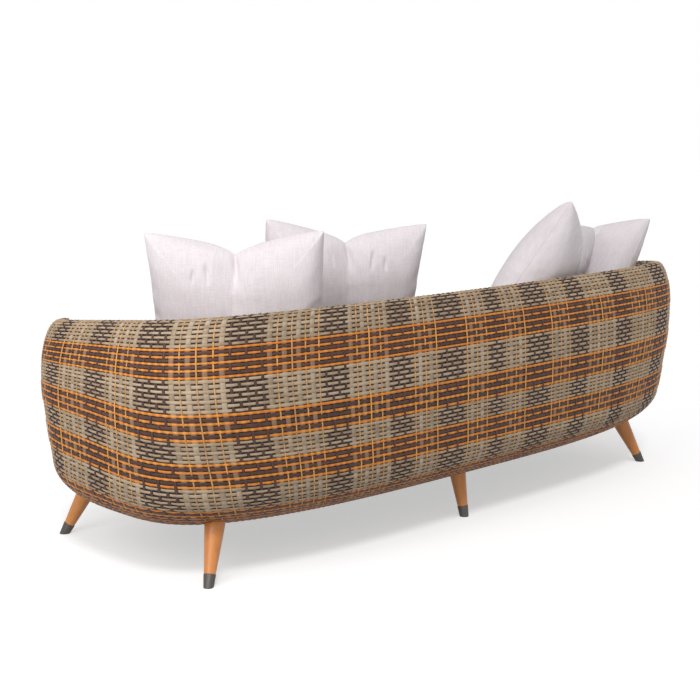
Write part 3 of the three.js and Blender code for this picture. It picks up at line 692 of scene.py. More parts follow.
    def front(self, share: Array, level: Array) -> Array:
        """Gives points of the front below the seat, and of the round lip above it.

        Args:
            share: 0 at the right arm and 1 at the left one.
            level: Levels. One above the apron's is a way round the lip.

        Returns:
            Points, one a row.
        """
        low = np.minimum(level, self.apron)
        cut = self._cut(self._outer_plan(np.full_like(low, self.apron)))
        x, y = self._on(self._outer_plan(low), math.pi + cut + (math.pi - 2 * cut) * share)
        way = np.maximum(0, level - self.apron) * self.wall
        turn = np.minimum(way / self.lip_radius, math.pi / 2)
        flat = np.maximum(0, way - self.lip_radius * math.pi / 2)
        z = self.height(x, y, low) + self.lip_radius * np.sin(turn)
        return np.stack([x, y + self.lip_radius * (1 - np.cos(turn)) + flat, z], -1)

    def level_at(self, arc: Array) -> Array:
        """Returns the level at a length down from the rim."""
        return np.interp(arc, self.gauge_arcs, self.gauge_levels)

    def arc_at(self, level: float) -> float:
        """Returns the length down from the rim to a level."""
        return float(np.interp(-level, -self.gauge_levels, self.gauge_arcs))

    def risen(self, level: Array, share: Array) -> Array:
        """Raises the bands towards the arms' ends, as the weaver packed them.

        Args:
            level: Levels at the rear corner.
            share: Shares of the way round.

        Returns:
            Levels of the same strands at those shares.
        """
        near = 0.5 - np.abs(share - 0.5)
        rise = np.interp(level, self.rise_levels, self.rises)
        return level + rise * np.interp(near, self.rise_places, self.rise_gains)

    def face(self, stake: Array, arc: Array) -> Array:
        """Gives points of both faces by stake and by length from the rim.

        Args:
            stake: Numbers of stakes from the left arm round the back.
            arc: Length down from the rim, negative outside and positive inside.

        Returns:
            Points, one a row.
        """
        share = np.interp(stake, np.arange(self.stakes + 1), self.stake_shares)
        level = self.risen(self.level_at(np.abs(arc)), share)
        outside = self.outer(share, level)
        inside = self.inner(share, np.maximum(level, self.seat))
        return np.where((arc > 0)[:, None], inside, outside)

    def upper(self, stake: Array, arc: Array) -> Array:
        """Gives points of the loop outside, round the right arm's end, inside and round the left one's.

        Args:
            stake: Numbers of stakes along the loop.
            arc: Length down from the rim.

        Returns:
            Points, one a row.
        """
        n = np.mod(stake, self.upper_count)
        last = self.stakes + self.cap_stakes
        level = np.maximum(self.risen(self.level_at(arc), np.zeros_like(n)), self.seat)
        points = self.face(np.where(n <= self.stakes, n, last + self.stakes - n), np.where(n <= self.stakes, -arc, arc))
        right = self.cap(-1.0, np.clip((n - self.stakes) / self.cap_stakes, 0, 1), level)
        left = self.cap(1.0, np.clip((self.upper_count - n) / self.cap_stakes, 0, 1), level)
        points = np.where(((n > self.stakes) & (n < last))[:, None], right, points)
        return np.where((n > last + self.stakes)[:, None], left, points)

    def lower(self, stake: Array, arc: Array) -> Array:
        """Gives points of the loop outside and along the front.

        Args:
            stake: Numbers of stakes along the loop.
            arc: Length down from the rim.

        Returns:
            Points, one a row.
        """
        n = np.mod(stake, self.lower_count)
        level = self.risen(self.level_at(arc), np.zeros_like(n))
        front = self.front(np.clip((n - self.stakes) / self.front_stakes, 0, 1), level)
        return np.where((n > self.stakes)[:, None], front, self.face(np.minimum(n, self.stakes), -arc))


@dataclass(frozen=True)
class Surface:
    """Points by stake and arc. The sense is 1 where arcs grow downwards outside and -1 where they grow upwards."""

    points: Callable[[Array, Array], Array]
    sense: float = 1.0

    def lifted(self, stake: Array, arc: Array, lift: Array) -> Array:
        """Gives points moved out along the normal.

        Args:
            stake: Numbers of stakes.
            arc: Lengths from the rim.
            lift: How far out.

        Returns:
            The moved points, one a row.
        """
        aside, ahead = 0.05, 0.0008 * self.sense
        along = self.points(stake + aside, arc) - self.points(stake - aside, arc)
        up = self.points(stake, arc - ahead) - self.points(stake, arc + ahead)
        normal = np.cross(along, up)
        normal /= np.maximum(np.linalg.norm(normal, axis=1), 1e-12)[:, None]
        return self.points(stake, arc) + normal * lift[:, None]


def dress(obj: Object, slot: Slot, material: Material) -> Object:
    """Gives a piece its material, smooth faces and body.

    Args:
        obj: The piece.
        slot: The record's slot; not used.
        material: Its finish.

    Returns:
        The same piece.
    """
    obj.data.materials.clear()
    obj.data.materials.append(material)
    obj.data.polygons.foreach_set("use_smooth", [True] * len(obj.data.polygons))
    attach(obj, BODY)
    return obj


def link(name: str, mesh: Mesh) -> Object:
    """Puts a mesh in the scene.

    Args:
        name: Name of the piece.
        mesh: Its mesh.

    Returns:
        The new object.
    """
    obj = bpy.data.objects.new(name, mesh)
    bpy.context.scene.collection.objects.link(obj)
    return obj


def from_bmesh(name: str, bm: BMesh) -> Object:
    """Makes a piece of a bmesh, which is freed.

    Args:
        name: Name of the piece.
        bm: Its form.

    Returns:
        The new object.
    """
    mesh = bpy.data.meshes.new(name)
    bm.to_mesh(mesh)
    bm.free()
    return link(name, mesh)


def coordinates(mesh: Mesh) -> Array:
    """Reads the vertices of a mesh.

    Args:
        mesh: The mesh.

    Returns:
        Points, one a row.
    """
    flat = np.empty(len(mesh.vertices) * 3)
    mesh.vertices.foreach_get("co", flat)
    return flat.reshape(-1, 3)


def move_to(mesh: Mesh, points: Array) -> None:
    """Moves the vertices of a mesh to new points."""
    mesh.vertices.foreach_set("co", points.ravel())
    mesh.update()


@contextmanager
def edited(mesh: Mesh) -> Iterator[BMesh]:
    """Opens a mesh as a bmesh for a block of edits, and writes it back after them.

    Args:
        mesh: The mesh.

    Yields:
        The bmesh.
    """
    bm = bmesh.new()
    bm.from_mesh(mesh)
    yield bm
    bm.to_mesh(mesh)
    bm.free()


def note(mesh: Mesh, name: str, values: Array) -> None:
    """Stores a vector for each vertex of a mesh under a name."""
    mesh.attributes.new(name, "FLOAT_VECTOR", "POINT").data.foreach_set("vector", values.ravel())


@dataclass
class Grids:
    """Flat grids side by side in one mesh, which a formula then bends into closed strands."""

    name: str
    along: int
    count: int
    around: int = 4

    def build(self, shape: Callable[[Array, Array, Array], tuple[Array, Array]]) -> Object:
        """Makes the strands.

        Args:
            shape: Takes steps along, steps around and strand numbers, and gives points and notes.

        Returns:
            One object with all the strands, welded where their ends or edges meet.
        """
        bm = bmesh.new()
        for k in range(self.count):
            bmesh.ops.create_grid(bm, x_segments=self.along, y_segments=self.around, size=0.5,
                                  matrix=Matrix.Translation((0, 0, k)))
        mesh = bpy.data.meshes.new(self.name)
        bm.to_mesh(mesh)
        bm.free()
        flat = coordinates(mesh)
        step = np.rint((flat[:, 0] + 0.5) * self.along)
        side = np.rint((flat[:, 1] + 0.5) * self.around).astype(int)
        points, notes = shape(step, side, np.rint(flat[:, 2]).astype(int))
        move_to(mesh, points)
        note(mesh, "strand", notes)
        with edited(mesh) as bm:
            bmesh.ops.remove_doubles(bm, verts=bm.verts, dist=2e-6)
            bmesh.ops.recalc_face_normals(bm, faces=bm.faces)
        return link(self.name, mesh)


class Shade(Enum):
    """Colours of the strands."""

    GREY = "grey"
    DARK = "dark"
    ORANGE = "orange"


class Kind(Enum):
    """Kinds of upright stakes. A bright one lies on top of the orange bands, a thin one is woven in."""

    GREY = "grey"
    DARK = "dark"
    BRIGHT = "bright"
    THIN = "thin"


@dataclass(frozen=True)
class Row:
    """One weaver strand: its number from the rim, its middle below the rim, its width and its shade."""

    number: int
    arc: float
    width: float
    shade: Shade

    @property
    def turn(self) -> int:
        """Tells which stakes the row passes over: those that make an even sum with this number."""
        return self.number if self.shade is Shade.GREY else self.number // 2

    @property
    def steady(self) -> bool:
        """Tells whether the row passes over every stake, as every second orange one does."""
        return self.shade is Shade.ORANGE and self.number // 2 % 2 == 1

    def under(self, stake: int) -> float:
        """Returns how far a stake swings out at the row, from -1 to 1."""
        return -1.0 if self.steady or (stake + self.turn) % 2 == 0 else 1.0


@dataclass
class Weave:
    """Rows of weavers that pass over and under upright stakes, outside and inside the tub."""

    shell: Shell = field(default_factory=Shell)
    grey_share: float = 0.64
    light_gain: float = 0.3
    dark_share: float = 0.86
    orange_share: float = 1.0
    thick: float = 0.0018
    swing: float = 0.0012
    over: float = 2.1
    lift: float = -0.0040
    depth: float = -0.0046
    # Wall of the dark sheet of painted shade behind the strands.
    lining: float = 0.0012
    stake_width: float = 0.0172
    thin_width: float = 0.0050
    dark_width: float = 0.0090
    rim_width: float = 0.013
    lip_start: float = 0.006
    lip_pitch: float = 0.0118
    hem_gap: float = 0.004
    apron_lap: float = 0.02
    cap_gap: float = 0.012
    steady_rise: float = 0.45
    orange_weight: float = 8.0
    plain_weight: float = 13.0
    bright_every: int = 6
    front_repeat: int = 11
    front_dark: int = 2
    lining_power: float = 1.6
    lining_clear: tuple[float, float] = (0.0006, 0.0005)
    lining_rows: tuple[int, int, int] = (25, 21, 8)
    lip_span: tuple[float, float] = (0.008, 0.045)
    lip_count: int = 4
    split_between: tuple[float, float] = (0.2, 0.6)
    bands: tuple[tuple[Shade, float, int], ...] = (
        (Shade.GREY, 0.090, 7), (Shade.ORANGE, 0.078, 5), (Shade.GREY, 0.089, 7), (Shade.ORANGE, 0.074, 4),
        (Shade.GREY, 0.060, 5), (Shade.ORANGE, 0.071, 4), (Shade.GREY, 0.078, 6), (Shade.ORANGE, 0.240, 11))
    dark_columns: tuple[tuple[float, float], ...] = (
        (1.2, 1.4), (11.0, 1.9), (20.5, 2.0), (31.0, 2.0), (43.3, 2.6), (55.5, 2.4), (66.2, 2.2), (76.1, 2.2),
        (85.5, 2.2))
    profile: tuple[tuple[float, float], ...] = ((-0.5, 0.0), (-0.3, 1.0), (0.3, 1.0), (0.5, 0.0), (-0.5, 0.0))

    def rows(self) -> list[Row]:
        """Lists the rows from the rim down to the hem: grey bands, and bands of orange between dark.

        Returns:
            The rows.
        """
        made: list[Row] = []
        start = self.rim_width / 2
        end = self.shell.arc_at(self.shell.hem)
        for shade, length, count in self.bands:
            length -= start if not made else 0
            shades = [shade] * count
            if shade is Shade.ORANGE:
                shades = [Shade.ORANGE if k % 2 == 0 else Shade.DARK for k in range(2 * count - 1)]
            weights = [self.orange_weight if s is Shade.ORANGE else self.plain_weight for s in shades]
            at = start if not made else made[-1].arc + made[-1].width / 2
            for s, weight in zip(shades, weights):
                width = length * weight / sum(weights)
                if at + width < end:
                    made.append(Row(len(made), at + width / 2, width, s))
                at += width
        return made

    def _row_piece(self, name: str, rows: Sequence[Row], surface: Surface, start: int, end: int,
                   closed: bool) -> Object:
        """Makes one mesh of some rows.

        Args:
            name: Name of the piece.
            rows: The rows.
            surface: Gives points by stake and arc.
            start: Stake at which they start.
            end: Stake at which they end.
            closed: Whether they are loops.

        Returns:
            The piece.
        """
        arcs = np.array([row.arc for row in rows])
        shares = {Shade.GREY: self.grey_share, Shade.DARK: self.dark_share, Shade.ORANGE: self.orange_share}
        widths = np.array([row.width * shares[row.shade] for row in rows])
        numbers = np.array([row.number for row in rows])
        turns = np.array([row.turn for row in rows])
        steady = np.array([row.steady for row in rows])
        plain = np.array([row.shade is Shade.GREY for row in rows])
        marks = np.arange(start, end + 1)
        light = np.array([self._column_of(stake) is not Shade.DARK for stake in marks], dtype=float)
        across = np.array(self.profile)[:, 0]

        def shape(step: Array, side: Array, strand: Array) -> tuple[Array, Array]:
            """Bends the grids into rows.

            Args:
                step: Half stakes from the start.
                side: Corners of the profile.
                strand: Places of the rows in the list.

            Returns:
                Points and notes, one a row.
            """
            stake = start + step / 2
            open_end = (not closed) & ((step == 0) | (step == 2 * (end - start)))
            spread = np.where(open_end, 0.0, 1.0)
            wide = 1 + self.light_gain * np.interp(stake, marks, light) * plain[strand]
            arc = arcs[strand] - across[side] * widths[strand] * wide * spread
            woven = np.cos(math.pi * (stake + turns[strand]))
            over = self.steady_rise + (1 - self.steady_rise) * np.cos(2 * math.pi * stake)
            wave = np.where(steady[strand], over, woven)
            notes = self._notes(stake * STAKE_PITCH, side, numbers[strand])
            return surface.lifted(stake, arc, self._height(wave, side, spread)), notes

        return Grids(name, 2 * (end - start), len(rows)).build(shape)

    def _height(self, wave: Array, side: Array, spread: Array) -> Array:
        """Returns how far points stand out, by wave, by corner of the profile and by spread, 0 where it closes."""
        return self.lift + self.swing + self.swing * wave + self.thick * np.array(self.profile)[side, 1] * spread

    def _notes(self, along: Array, side: Array, number: Array) -> Array:
        """Returns the strand attribute of points: metres along, share across and a number for the tone."""
        return np.stack([along, np.array(self.profile)[side, 0] + 0.5, (number * TONE_STEP) % 1], -1)

    def _column_of(self, stake: int) -> Shade:
        """Returns the shade of the stakes at a stake of the whole loop, round the tub and along the front."""
        return self._shade_of(stake) if stake <= self.shell.stakes else self._front_shade(stake - self.shell.stakes)

    def _shade_of(self, stake: int) -> Shade:
        """Tells the shade of an upright stake: dark in the plaid columns, else grey and thin orange.

        Args:
            stake: Number of the stake.

        Returns:
            Its shade.
        """
        near = min(stake, self.shell.stakes - stake)
        if any(abs(near - middle) <= half for middle, half in self.dark_columns):
            return Shade.DARK
        return Shade.ORANGE if near % 2 else Shade.GREY

    def _stake_piece(self, name: str, stakes: Sequence[int], width: float, surface: Surface,
                     path: Array, phase: Array) -> Object:
        """Makes one mesh of some stakes.

        Args:
            name: Name of the piece.
            stakes: Numbers of the stakes.
            width: Width of each.
            surface: Gives points by stake and arc.
            path: Arcs along a stake.
            phase: How far each point of the path swings out, for even and for odd stakes.

        Returns:
            The piece.
        """
        numbers = np.array(stakes)
        across = np.array(self.profile)[:, 0]

        def shape(step: Array, side: Array, strand: Array) -> tuple[Array, Array]:
            """Bends the grids into stakes.

            Args:
                step: Places along the path.
                side: Corners of the profile.
                strand: Places of the stakes in the list.

            Returns:
                Points and notes, one a row.
            """
            at = step.astype(int)
            spread = np.where((at == 0) | (at == len(path) - 1), 0.0, 1.0)
            stake = numbers[strand] + across[side] * spread * width / STAKE_PITCH
            lift = self._height(phase[at, numbers[strand] % 2], side, spread)
            return surface.lifted(stake, path[at], lift), self._notes(path[at], side, numbers[strand])

        return Grids(name, len(path) - 1, len(stakes)).build(shape)

    def _path(self, rows: Sequence[Row], low: float, high: float, bright: bool) -> tuple[Array, Array]:
        """Gives the arcs and swings of a stake past the rows between two lengths from the rim.

        Args:
            rows: All rows.
            low: Least length from the rim.
            high: Greatest length from the rim.
            bright: Whether the stake lies on top of the orange bands.

        Returns:
            Arcs, outwards from the rim, and swings for even and for odd stakes.
        """
        arcs, swings = [], []
        last = self.spans()[-1][0]
        for row in rows:
            if low <= row.arc <= high:
                over = bright and row.shade is not Shade.GREY and row.arc < last
                arcs += [row.arc - row.width / 2, row.arc]
                swings += [[self.over if over else 0.0] * 2, [self.over] * 2 if over else [row.under(0), row.under(1)]]
        return np.array(arcs + [high]), np.array(swings + [[0.0, 0.0]])

    def spans(self) -> tuple[tuple[float, float], ...]:
        """Finds where the orange bands begin and end.

        Returns:
            Pairs of metres below the rim.
        """
        rows = self.rows()
        starts = [row.arc - row.width / 2 for row, before in zip(rows[1:], rows)
                  if row.shade is Shade.ORANGE and before.shade is Shade.GREY]
        ends = [row.arc + row.width / 2 for row, after in zip(rows, rows[1:])
                if row.shade is Shade.ORANGE and after.shade is Shade.GREY]
        return tuple(zip(starts, ends + [rows[-1].arc + rows[-1].width]))

    def build(self, finishes: dict[Shade, Material], upright: dict[Shade, Material]) -> list[Object]:
        """Makes all strands.

        Args:
            finishes: A material for each shade of the rows.
            upright: A material for each shade of the stakes.

        Returns:
            The pieces.
        """
        shell = self.shell
        rows = self.rows()
        front_level = {row.number: float(shell.risen(shell.level_at(row.arc), np.zeros(1))[0]) for row in rows}
        upper = [row for row in rows if front_level[row.number] >= shell.seat]
        lower = [row for row in rows if front_level[row.number] < shell.seat]
        made = []
        for shade in Shade:
            for where, group, points, count in (("upper", upper, shell.upper, shell.upper_count),
                                                ("lower", lower, shell.lower, shell.lower_count)):
                some = [row for row in group if row.shade is shade]
                if some:
                    name = f"{shade.value}_weavers_{where}"
                    piece = self._row_piece(name, some, Surface(points), 0, count, True)
                    made.append(dress(piece, Slot.WEAVE, finishes[shade]))
        rim = Row(-1, 0.0, self.rim_width, Shade.GREY)
        for name, some, points, start, end in (
                ("rim_strand", [rim], shell.face, 0, shell.stakes),
                ("lip_weavers", self._lip_rows(rows), self.over_lip, shell.stakes, shell.lower_count)):
            piece = self._row_piece(name, some, Surface(points, -1.0), start, end, False)
            made.append(dress(piece, Slot.WEAVE, finishes[Shade.GREY]))
        return made + self._stakes(rows, upright)

    def _lip_rows(self, rows: Sequence[Row]) -> list[Row]:
        """Gives the rows over the front lip, from the top of the apron to the deck.

        Args:
            rows: All rows from the rim down.

        Returns:
            The rows, whose numbers go on from the last row of the apron.
        """
        shell = self.shell
        top = max(row.arc - row.width / 2 for row in rows
                  if shell.risen(shell.level_at(row.arc), np.zeros(1))[0] >= shell.apron)
        last = next(row for row in rows if row.arc > top)
        return [Row(last.number + 1 + k, self.lip_start + self.lip_pitch * k, self.lip_pitch, Shade.GREY)
                for k in range(self.lip_count)]

    def _stakes(self, rows: Sequence[Row], upright: dict[Shade, Material]) -> list[Object]:
        """Makes the upright stakes over the rim, up the front and on the arms' ends.

        Args:
            rows: All rows from the rim down.
            upright: A material for each shade.

        Returns:
            The pieces, one for each kind and place.
        """
        shell = self.shell
        hem = shell.arc_at(shell.hem) - self.hem_gap
        deck = shell.arc_at(shell.seat)
        around, ahead = Surface(shell.face, -1.0), Surface(shell.lower)
        jobs = []
        for kind, width, shade in (
                (Kind.GREY, self.stake_width, Shade.GREY), (Kind.DARK, self.dark_width, Shade.DARK),
                (Kind.BRIGHT, self.thin_width, Shade.ORANGE), (Kind.THIN, self.thin_width, Shade.ORANGE)):
            bright = kind is Kind.BRIGHT
            outside, out_swing = self._path(rows, 0.0, hem, bright)
            inside, in_swing = self._path(rows, 0.0, deck, bright)
            path = np.concatenate([-outside[::-1], [0.0], inside])
            phase = np.concatenate([out_swing[::-1], [[1.0, 1.0]], in_swing])
            some = [n for n in range(1, shell.stakes) if self._kind_of(n, self._shade_of(n)) is kind]
            jobs.append((f"{kind.value}_stakes", some, width, around, path, phase, shade))
            some = [n for n in range(shell.stakes, shell.lower_count + 1)
                    if self._kind_of(n - shell.stakes, self._front_shade(n - shell.stakes)) is kind]
            front = self._path(rows, shell.arc_at(shell.apron) - self.apron_lap, hem, bright)
            jobs.append((f"{kind.value}_front_stakes", some, width, ahead, *front, shade))
        arms = [start + k * way for start, way in ((shell.stakes, 1), (shell.upper_count, -1))
                for k in range(shell.cap_stakes + 1)]
        ends = self._path(rows, self.cap_gap, deck, False)
        jobs.append(("arm_end_stakes", arms, self.stake_width, Surface(shell.upper), *ends, Shade.GREY))
        return [dress(self._stake_piece(*job), Slot.WEAVE, upright[shade]) for *job, shade in jobs]

    def _kind_of(self, stake: int, shade: Shade) -> Kind:
        """Tells the kind of a stake: of the thin orange ones every third is bright.

        Args:
            stake: Number of the stake.
            shade: Its shade.

        Returns:
            Its kind.
        """
        if shade is Shade.ORANGE:
            return Kind.BRIGHT if stake % self.bright_every == 1 else Kind.THIN
        return Kind(shade.value)

    def _front_shade(self, stake: int) -> Shade:
        """Tells the shade of a stake of the front, where the plaid goes on.

        Args:
            stake: Number of the stake from the right arm.

        Returns:
            Its shade.
        """
        near = abs(stake - self.shell.front_stakes // 2)
        if min(near % self.front_repeat, -near % self.front_repeat) <= self.front_dark:
            return Shade.DARK
        return Shade.ORANGE if near % 2 else Shade.GREY

    def lining_piece(self, name: str, points: Callable[[Array, Array], Array], start: int, end: int, arcs: Array,
                     finish: Material, sense: float = 1.0) -> Object:
        """Makes the dark sheet behind the strands, painted shade for the depth between them.

        Args:
            name: Name of the piece.
            points: Gives points by stake and arc.
            start: First stake.
            end: Last stake.
            arcs: Arcs of its rows.
            finish: Its material.
            sense: As in a surface.

        Returns:
            The piece, with a thin wall.
        """
        surface = Surface(points, sense)

        def shape(step: Array, side: Array, strand: Array) -> tuple[Array, Array]:
            """Returns points and notes of the sheet."""
            spots = surface.lifted(start + step, arcs[side], np.full(len(step), self.depth))
            return spots, spots

        piece = Grids(name, end - start, 1, len(arcs) - 1).build(shape)
        wall = piece.modifiers.new("Wall", "SOLIDIFY")
        wall.thickness = self.lining
        wall.offset = -1.0
        return dress(piece, Slot.WEAVE, finish)

    def lining_pieces(self, finish: Material) -> list[Object]:
        """Makes the dark sheets behind all strands, painted shade for the depth between them, which stand for the CAD
        skins.

        Args:
            finish: Their material.

        Returns:
            The pieces.
        """
        shell = self.shell
        arcs = np.linspace(*self.split_between, shell.side_points)
        front = shell.risen(shell.level_at(arcs), np.zeros_like(arcs))
        split = float(arcs[np.argmax(front < shell.seat)])
        above, below, ahead = self.lining_rows
        top = split * np.linspace(0.0, 1.0, above) ** self.lining_power + self.lining_clear[0]
        top[-1] = split
        low = np.linspace(split, shell.arc_at(shell.hem) - self.lining_clear[1], below)
        upper = self.lining_piece("tub_lining", shell.upper, 0, shell.upper_count, top, finish)
        lower = self.lining_piece("belly_lining", shell.lower, 0, shell.lower_count, low, finish)
        lip = self.lining_piece("lip_lining", self.over_lip, shell.stakes, shell.lower_count,
                                np.linspace(*self.lip_span, ahead), finish, -1.0)
        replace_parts(upper, "inner_weave")
        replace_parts(lower, "outer_weave")
        return [upper, lower, lip]

    def over_lip(self, stake: Array, arc: Array) -> Array:
        """Gives points of the lip.

        Args:
            stake: Numbers of stakes.
            arc: Length up from the apron.

        Returns:
            Points, one a row.
        """
        shell = self.shell
        share = np.clip((stake - shell.stakes) / shell.front_stakes, 0, 1)
        return shell.front(share, shell.apron + np.maximum(arc, 1e-5) / shell.wall)


@dataclass(frozen=True)
class Foot:
    """Where a leg stands and how it leans, in metres and in metres a metre."""

    name: str
    x: float
    y: float
    lean_x: float
    lean_y: float


@dataclass
class Legs:
    """Turned legs in metal ferrules."""

    foot_x: float = 0.995
    back_y: float = 0.296
    front_y: float = -0.391
    middle_back_y: float = 0.323
    middle_front_y: float = -0.404
    lean_x: float = 0.424
    lean_y: float = 0.325
    middle_lean_y: float = 0.223
    tip_radius: float = 0.0126
    head_radius: float = 0.028
    taper: float = 0.165
    ferrule: float = 0.034
    ferrule_wall: float = 0.0014
    ferrule_base: float = 0.003
    gap: float = 0.0003
    top: float = 0.2428
    sides: int = 48
    spare: float = 0.02
    head_spare: float = 0.09
    edge: float = 0.0007
    socket: float = 0.006
    sharp: float = 35.0
    shoulder: float = 0.167
    stations: tuple[float, ...] = (0.02, 0.08, 0.14)

    def feet(self) -> list[Foot]:
        """Lists the feet.

        Returns:
            Six feet, from the front left one.
        """
        made = []
        for end, y, middle, sign in (("front", self.front_y, self.middle_front_y, 1),
                                     ("back", self.back_y, self.middle_back_y, -1)):
            made.append(Foot(f"{end}_left", self.foot_x, y, -self.lean_x, sign * self.lean_y))
            made.append(Foot(f"{end}_middle", 0.0, middle, 0.0, sign * self.middle_lean_y))
            made.append(Foot(f"{end}_right", -self.foot_x, y, self.lean_x, sign * self.lean_y))
        return made

    def _radius(self, along: float) -> float:
        """Returns the radius of the taper at a distance along the leg."""
        return self.tip_radius + (self.head_radius - self.tip_radius) * min(1.0, along / self.taper)

    def _turned(self, foot: Foot, profile: Sequence[tuple[float, float]]) -> BMesh:
        """Spins a profile about the leaning axis of a foot.

        Args:
            foot: The foot.
            profile: Radii and distances along the axis, from one end on the axis to the other.

        Returns:
            A closed turned body.
        """
        bm = bmesh.new()
        verts = [bm.verts.new((radius, 0, along)) for radius, along in profile]
        edges = [bm.edges.new(pair) for pair in zip(verts, verts[1:])]
        bmesh.ops.spin(bm, geom=verts + edges, cent=(0, 0, 0), axis=(0, 0, 1), angle=2 * math.pi,
                       steps=self.sides, use_merge=True)
        bmesh.ops.remove_doubles(bm, verts=bm.verts, dist=1e-6)
        axis = Vector((foot.lean_x, foot.lean_y, 1)).normalized()
        turn = Vector((0, 0, 1)).rotation_difference(axis).to_matrix().to_4x4()
        bmesh.ops.transform(bm, matrix=Matrix.Translation((foot.x, foot.y, 0)) @ turn, verts=bm.verts)
        bmesh.ops.recalc_face_normals(bm, faces=bm.faces)
        return bm

    @staticmethod
    def _level(bm: BMesh, height: float, up: bool) -> None:
        """Cuts a body off level and closes it.

        Args:
            bm: The body.
            height: Where to cut.
            up: Whether the part above goes.
        """
        geom = bm.verts[:] + bm.edges[:] + bm.faces[:]
        bmesh.ops.bisect_plane(bm, geom=geom, plane_co=(0, 0, height), plane_no=(0, 0, 1),
                               clear_outer=up, clear_inner=not up)
        rim = [edge for edge in bm.edges if edge.is_boundary]
        if rim:
            bmesh.ops.holes_fill(bm, edges=rim, sides=0)

    def build(self, wood: Material, metal: Material) -> list[Object]:
        """Makes every leg and ferrule.

        Args:
            wood: Finish of the legs.
            metal: Finish of the ferrules.

        Returns:
            The pieces.
        """
        made = []
        for foot in self.feet():
            low, long, soft = -self.spare, self.top + self.head_spare, self.edge
            sides = [(self._radius(along), along) for along in self.stations]
            leg = self._turned(foot, [(0, low), (self._radius(0), low), *sides, (self.head_radius, self.shoulder),
                                      (self.head_radius, long), (0, long)])
            self._level(leg, self.ferrule_base + self.gap, False)
            self._level(leg, self.top, True)
            piece = dress(from_bmesh(f"turned_leg_{foot.name}", leg), Slot.WOOD, wood)
            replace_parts(piece, f"leg_{foot.name}")
            wall, at, inside, floor = self.ferrule_wall, self.ferrule, self.gap, self.socket
            rim = self._radius(at)
            sleeve = self._turned(foot, [
                (0, low), (self._radius(low) + wall, low), (rim + wall - soft / 2, at - soft), (rim + wall - soft, at),
                (rim + inside + soft / 3, at), (rim + inside, at - soft), (self._radius(floor) + inside, floor),
                (0, floor)])
            self._level(sleeve, 0.0, False)
            tip = dress(from_bmesh(f"turned_ferrule_{foot.name}", sleeve), Slot.FERRULE, metal)
            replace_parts(tip, f"ferrule_{foot.name}")
            made += [piece, tip]
        for piece in made:
            piece.data.set_sharp_from_angle(angle=math.radians(self.sharp))
        return made


@dataclass(frozen=True)
class Soft:
    """A cushion: its CAD node, its own axes, and how it is filled."""

    node: str
    slot: Slot
    facing: float = 0.0
    lean: float = 0.0
    roll: float = 0.0
    voxel: float = 0.006
    shrink: float = 0.94
    pressure: float = 4.0
    cap: float = 0.024
    fill: float = 0.75
    wide: float = 1.0
    tall: float = 1.0
    hand: int = 1

    def axes(self) -> Matrix:
        """Works out the cushion's own axes.

        Returns:
            Columns that run across, up and out of its face.
        """
        if self.slot is Slot.SEAT_FABRIC:
            return Matrix.Identity(3)
        f, l, r = (math.radians(angle) for angle in (self.facing, self.lean, self.roll))
        across = Vector((-math.sin(f), math.cos(f), 0))
        out = Vector((math.cos(f) * math.cos(l), math.sin(f) * math.cos(l), math.sin(l)))
        up = out.cross(across)
        basis = Matrix((across, up, out)).transposed()
        return basis @ Matrix.Rotation(r, 3, "Z")


@dataclass(frozen=True)
class Fold:
    """A fold below the chop, from the cushion's middle line: its depth is a share of the thickness there."""

    aside: float
    slant: float
    depth: float
    start: float
    length: float
    width: float

    def groove(self, across: Array, below: Array) -> Array:
        """Gives the share of the thickness that the fold takes.

        Args:
            across: Places across the cushion.
            below: How far they lie below the chop.

        Returns:
            Shares from 0 to 1.
        """
        along = np.clip((below - self.start) / self.length, 0, 1)
        fade = np.sin(math.pi * along) if self.start else np.cos(math.pi / 2 * along)
        line = self.aside + self.slant * below
        return self.depth * np.exp(-(((across - line) / self.width) ** 2)) * fade ** 2 * (along < 1)


